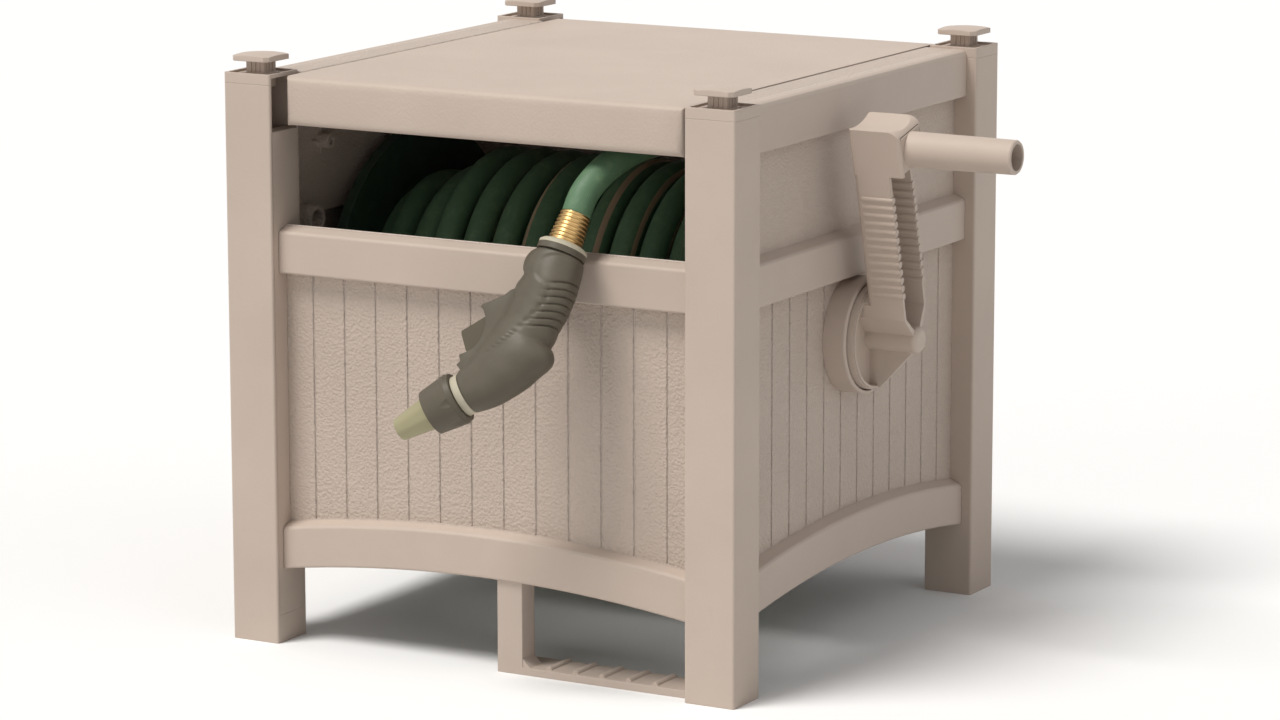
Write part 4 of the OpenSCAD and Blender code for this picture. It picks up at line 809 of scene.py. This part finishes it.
class HOSEBOX_OT_mould_lid(bpy.types.Operator):
    """Mould the lid with its rolled front edge, ribs and hinge barrel"""

    bl_idname = "hosebox.mould_lid"
    bl_label = "Mould Lid"

    def execute(self, context):
        low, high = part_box("lid")
        middle = Vector(((low.x + high.x) / 2, 0, 0))
        low, high = low - middle, high - middle
        shape = bmesh.new()
        # outline from the side, drawn out across the lid
        outline = [
            (low.y, low.z), (low.y + FLAP_DEEP, low.z), (low.y + FLAP_DEEP, high.z - SKIRT_H),
            (high.y, high.z - SKIRT_H), (high.y, high.z), (low.y, high.z)]
        end = shape.faces.new([shape.verts.new((low.x, y, z)) for y, z in outline])
        draw_out(shape, [end], (high.x - low.x, 0, 0))

        def edges_where(test):
            return [e for e in shape.edges if all(test(v.co) for v in e.verts)]

        def near(a, b):
            return abs(a - b) < SAME

        # the upright front corners, then the rolled front edge and the edge at the rear
        corners = edges_where(lambda p: near(p.y, low.y) and near(abs(p.x), high.x))
        round_off(shape, corners, LID_CORNER_R, 6)
        past_corner = low.y + LID_CORNER_R
        front = [
            e for e in edges_where(lambda p: near(p.z, high.z) and p.y < past_corner + ALMOST)
            if not all(near(v.co.y, past_corner) and near(abs(v.co.x), high.x) for v in e.verts)
            and len(e.link_faces) == 2 and abs(e.calc_face_angle(0)) > 0.5]
        round_off(shape, front, LID_FRONT_R, 8)
        rear = edges_where(lambda p: near(p.z, high.z) and near(p.y, high.y))
        round_off(shape, rear, LID_REAR_R, 8)
        # open underneath and behind the flap, then given its wall
        under = [f for f in shape.faces if f.normal.z < -0.9
                 or (f.normal.y > 0.9 and f.calc_center_median().y < low.y + 2 * FLAP_DEEP)]
        bmesh.ops.delete(shape, geom=under, context="FACES")
        bmesh.ops.recalc_face_normals(shape, faces=shape.faces)
        bmesh.ops.solidify(shape, geom=shape.faces[:], thickness=LID_WALL)
        # ribs under the top and the hinge barrel along the rear
        rib_low, rib_high = high.z - RIB_LOW, high.z - RIB_HIGH
        for share in RIBS_ALONG:
            x = share * high.x
            add_box(shape, (x - RIB_T / 2, low.y + RIB_FRONT, rib_low),
                    (x + RIB_T / 2, high.y - RIB_REAR, rib_high))
        for y in RIBS_ACROSS:
            add_box(shape, (low.x + RIB_SIDE, y, rib_low),
                    (high.x - RIB_SIDE, y + RIB_T, rib_high))
        add_rod(shape, BARREL_R, high.x - low.x - BARREL_GAP,
                (0, high.y - BARREL_IN, high.z - BARREL_IN), BARREL_SIDES)
        bmesh.ops.translate(shape, verts=shape.verts, vec=middle)
        resin = resin_finish("lid resin", finishes().resin_light, pebble_share=0.2)
        show("lid_shell", shape, resin, "lid", "resin_light", "lid")
        return {"FINISHED"}


class HOSEBOX_OT_dress_reel(bpy.types.Operator):
    """Give the reel its finish and lay the deep turns of hose on its drum"""

    bl_idname = "hosebox.dress_reel"
    bl_label = "Dress Reel"

    def execute(self, context):
        c = finishes()
        reel = moulded_finish("reel plastic", c.reel, roughness=0.36, grain=0.002,
                              depth=0.0001, edge=0.0012, rub=1.6)
        for node in ("flange_left", "flange_right", "drum"):
            wear(node, reel)
        # the deeper layer shows at the left of the outer one, over a plain core
        path = []
        for i in range(DEEP_TURNS * DEEP_STEPS + 1):
            turn = i / DEEP_STEPS
            a = 2 * math.pi * turn
            path.append(at_home((DEEP_HALF * (2 * turn / DEEP_TURNS - 1), DEEP_R * math.cos(a),
                                 AXLE_Z + DEEP_R * math.sin(a))))
        deep = tube(path, HOSE_D / 2 * MM, DEEP_SIDES)
        add_rod(deep, DEEP_R * MM, CORE_L * MM, at_home((0, 0, AXLE_Z)), CORE_SIDES)
        show("deep_hose", deep, hose_finish("deep hose", c.hose), "reel", "hose_green",
             "hose_pack", smooth=60)
        return {"FINISHED"}


class HOSEBOX_OT_wind_hose(bpy.types.Operator):
    """Wind the outer layer of hose on the reel"""

    bl_idname = "hosebox.wind_hose"
    bl_label = "Wind Hose"

    def execute(self, context):
        start = LAYER_FROM - DIVE
        count = int((CLIMB_TO - start) / 360 * TURN_STEPS)
        path = [at_home(winding_point(start + (CLIMB_TO - start) * i / count))
                for i in range(count + 1)]
        path.append(at_home(winding_end()[0]))
        shape = tube(path, HOSE_D / 2 * MM, TURN_SIDES, twist=TURN_TWIST)
        hose = hose_finish("hose cover", finishes().hose, stripe_from=TURN_STRIPE_FROM)
        show("wound_hose", shape, hose, "reel", "hose_green", "hose_winding", smooth=None)
        return {"FINISHED"}


class HOSEBOX_OT_lead_hose(bpy.types.Operator):
    """Lead the free end of the hose over the reel to the nozzle"""

    bl_idname = "hosebox.lead_hose"
    bl_label = "Lead Hose"

    def execute(self, context):
        start, way = winding_end()
        points = [start + 0.1 * way, start + STRAIGHT * way]
        points += [Vector(p) for p in RUN_POINTS]
        points += [RUN_END + STRAIGHT * INLET_DIR, RUN_END]
        path = [at_home(p) for p in smooth_path(points, RUN_STEPS)]
        hose = hose_finish("free hose cover", finishes().hose, stripe_from=RUN_STRIPE_FROM)
        shape = tube(path, HOSE_D / 2 * MM, RUN_SIDES, twist=RUN_TWIST)
        piece = show("free_hose", shape, hose, "box", "hose_green", "hose_run", smooth=None)
        return {"FINISHED"}


class HOSEBOX_OT_make_nozzle(bpy.types.Operator):
    """Model the nozzle's grip and finish the nozzle's other pieces"""

    bl_idname = "hosebox.make_nozzle"
    bl_label = "Make Nozzle"

    def execute(self, context):
        c = finishes()
        grip = moulded_finish("grip plastic", c.grip, roughness=0.44, grain=NOZZLE_GRAIN,
                              depth=0.00008, edge=0.0006)
        cream = moulded_finish("cream plastic", c.cream, roughness=0.40, grain=NOZZLE_GRAIN,
                               depth=0.00005, rub=1.08)
        trigger = moulded_finish("trigger plastic", c.trigger, roughness=0.48,
                                 grain=NOZZLE_GRAIN, depth=0.00008)
        wear("nozzle_barrel", cream)
        wear("hose_nut", nut_finish("nut plastic", c.cream, c.grip))
        olive = moulded_finish("olive plastic", c.tip, roughness=0.34, grain=NOZZLE_GRAIN,
                               depth=0.00004, edge=0.0012, rub=1.06)
        show("spray_tip", tip_shape(), olive, "box", "nozzle_cream", "nozzle_tip", smooth=50)
        wear("nozzle_trigger", trigger)
        wear("nozzle_collar", grip)
        show("nozzle_grip", grip_shape(), grip, "box", "nozzle_grey", "nozzle_body", smooth=60)
        return {"FINISHED"}


class HOSEBOX_OT_set_stage(bpy.types.Operator):
    """Set the pale floor, the soft lights and the camera"""

    bl_idname = "hosebox.set_stage"
    bl_label = "Set Stage"

    def execute(self, context):
        scene = context.scene
        scene.view_settings.view_transform = "Standard"
        floor = bpy.data.meshes.new("floor")
        shape = bmesh.new()
        bmesh.ops.create_grid(shape, x_segments=1, y_segments=1, size=FLOOR_HALF)
        shape.to_mesh(floor)
        shape.free()
        ground = bpy.data.objects.new("floor", floor)
        scene.collection.objects.link(ground)
        # the camera sees the floor a little paler than the object does
        paper = Finish("pale floor")
        shown = paper.blend(seen_rays(paper.nodes, paper.links), FLOOR_LIT, FLOOR_SEEN)
        paper.put(paper.shader.inputs["Base Color"], shown)
        paper.put(paper.shader.inputs["Roughness"], 0.9)
        paper.put(paper.shader.inputs["Specular IOR Level"], 0.2)
        floor.materials.append(paper.material)

        # an even light of its own strength, seen as white
        world = bpy.data.worlds.new("studio")
        scene.world = world
        world.use_nodes = True
        nodes, links = world.node_tree.nodes, world.node_tree.links
        nodes.clear()
        out = nodes.new("ShaderNodeOutputWorld")
        mix = nodes.new("ShaderNodeMixShader")
        links.new(seen_rays(nodes, links), mix.inputs["Fac"])
        for socket, strength in ((mix.inputs[1], STUDIO), (mix.inputs[2], 1.0)):
            light = nodes.new("ShaderNodeBackground")
            light.inputs["Color"].default_value = (1.0, 1.0, 1.0, 1.0)
            light.inputs["Strength"].default_value = strength
            links.new(light.outputs["Background"], socket)
        links.new(mix.outputs["Shader"], out.inputs["Surface"])

        for name, way, energy, spread, tone in LAMPS:
            lamp = bpy.data.lights.new(name, "SUN")
            lamp.energy, lamp.angle, lamp.color = energy, math.radians(spread), tone
            holder = bpy.data.objects.new(name, lamp)
            holder.rotation_mode = "QUATERNION"
            holder.rotation_quaternion = Vector(way).to_track_quat("-Z", "Y")
            scene.collection.objects.link(holder)

        lens = bpy.data.cameras.new("camera")
        lens.sensor_width = 36.0
        lens.lens = CAMERA_LENS
        lens.clip_start, lens.clip_end = 0.1, 60.0
        camera = bpy.data.objects.new("camera", lens)
        axes = Matrix((CAMERA_RIGHT, CAMERA_UP, CAMERA_BACK)).transposed().to_4x4()
        camera.matrix_world = Matrix.Translation(CAMERA_AT) @ axes
        scene.collection.objects.link(camera)
        scene.camera = camera
        return {"FINISHED"}


class HOSEBOX_PT_finishes(bpy.types.Panel):
    """Lists the steps that dress the hose reel box"""

    bl_label = "Hose Reel Box"
    bl_space_type = "VIEW_3D"
    bl_region_type = "UI"
    bl_category = "Hose Reel Box"

    def draw(self, context):
        for group in (finishes(), sizes()):
            for name in group.__annotations__:
                self.layout.prop(group, name)
        for step in STEPS:
            self.layout.operator(step.bl_idname)


STEPS = (
    HOSEBOX_OT_set_stage,
    HOSEBOX_OT_lead_hose,
    HOSEBOX_OT_make_nozzle,
    HOSEBOX_OT_wind_hose,
    HOSEBOX_OT_dress_reel,
    HOSEBOX_OT_dress_cabinet,
    HOSEBOX_OT_mould_lid,
    HOSEBOX_OT_dress_crank,
)
CLASSES = (HoseBoxFinishes, HoseBoxSizes, *STEPS, HOSEBOX_PT_finishes)


def register():
    for cls in CLASSES:
        bpy.utils.register_class(cls)
    bpy.types.Scene.hose_box_finishes = bpy.props.PointerProperty(type=HoseBoxFinishes)
    bpy.types.Scene.hose_box_sizes = bpy.props.PointerProperty(type=HoseBoxSizes)


def unregister():
    del bpy.types.Scene.hose_box_sizes
    del bpy.types.Scene.hose_box_finishes
    for cls in reversed(CLASSES):
        bpy.utils.unregister_class(cls)


def main():
    register()
    bpy.ops.hosebox.set_stage()
    bpy.ops.hosebox.lead_hose()
    bpy.ops.hosebox.make_nozzle()
    bpy.ops.hosebox.wind_hose()
    bpy.ops.hosebox.dress_reel()
    bpy.ops.hosebox.dress_cabinet()
    bpy.ops.hosebox.mould_lid()
    bpy.ops.hosebox.dress_crank()


if __name__ == "__main__":
    main()
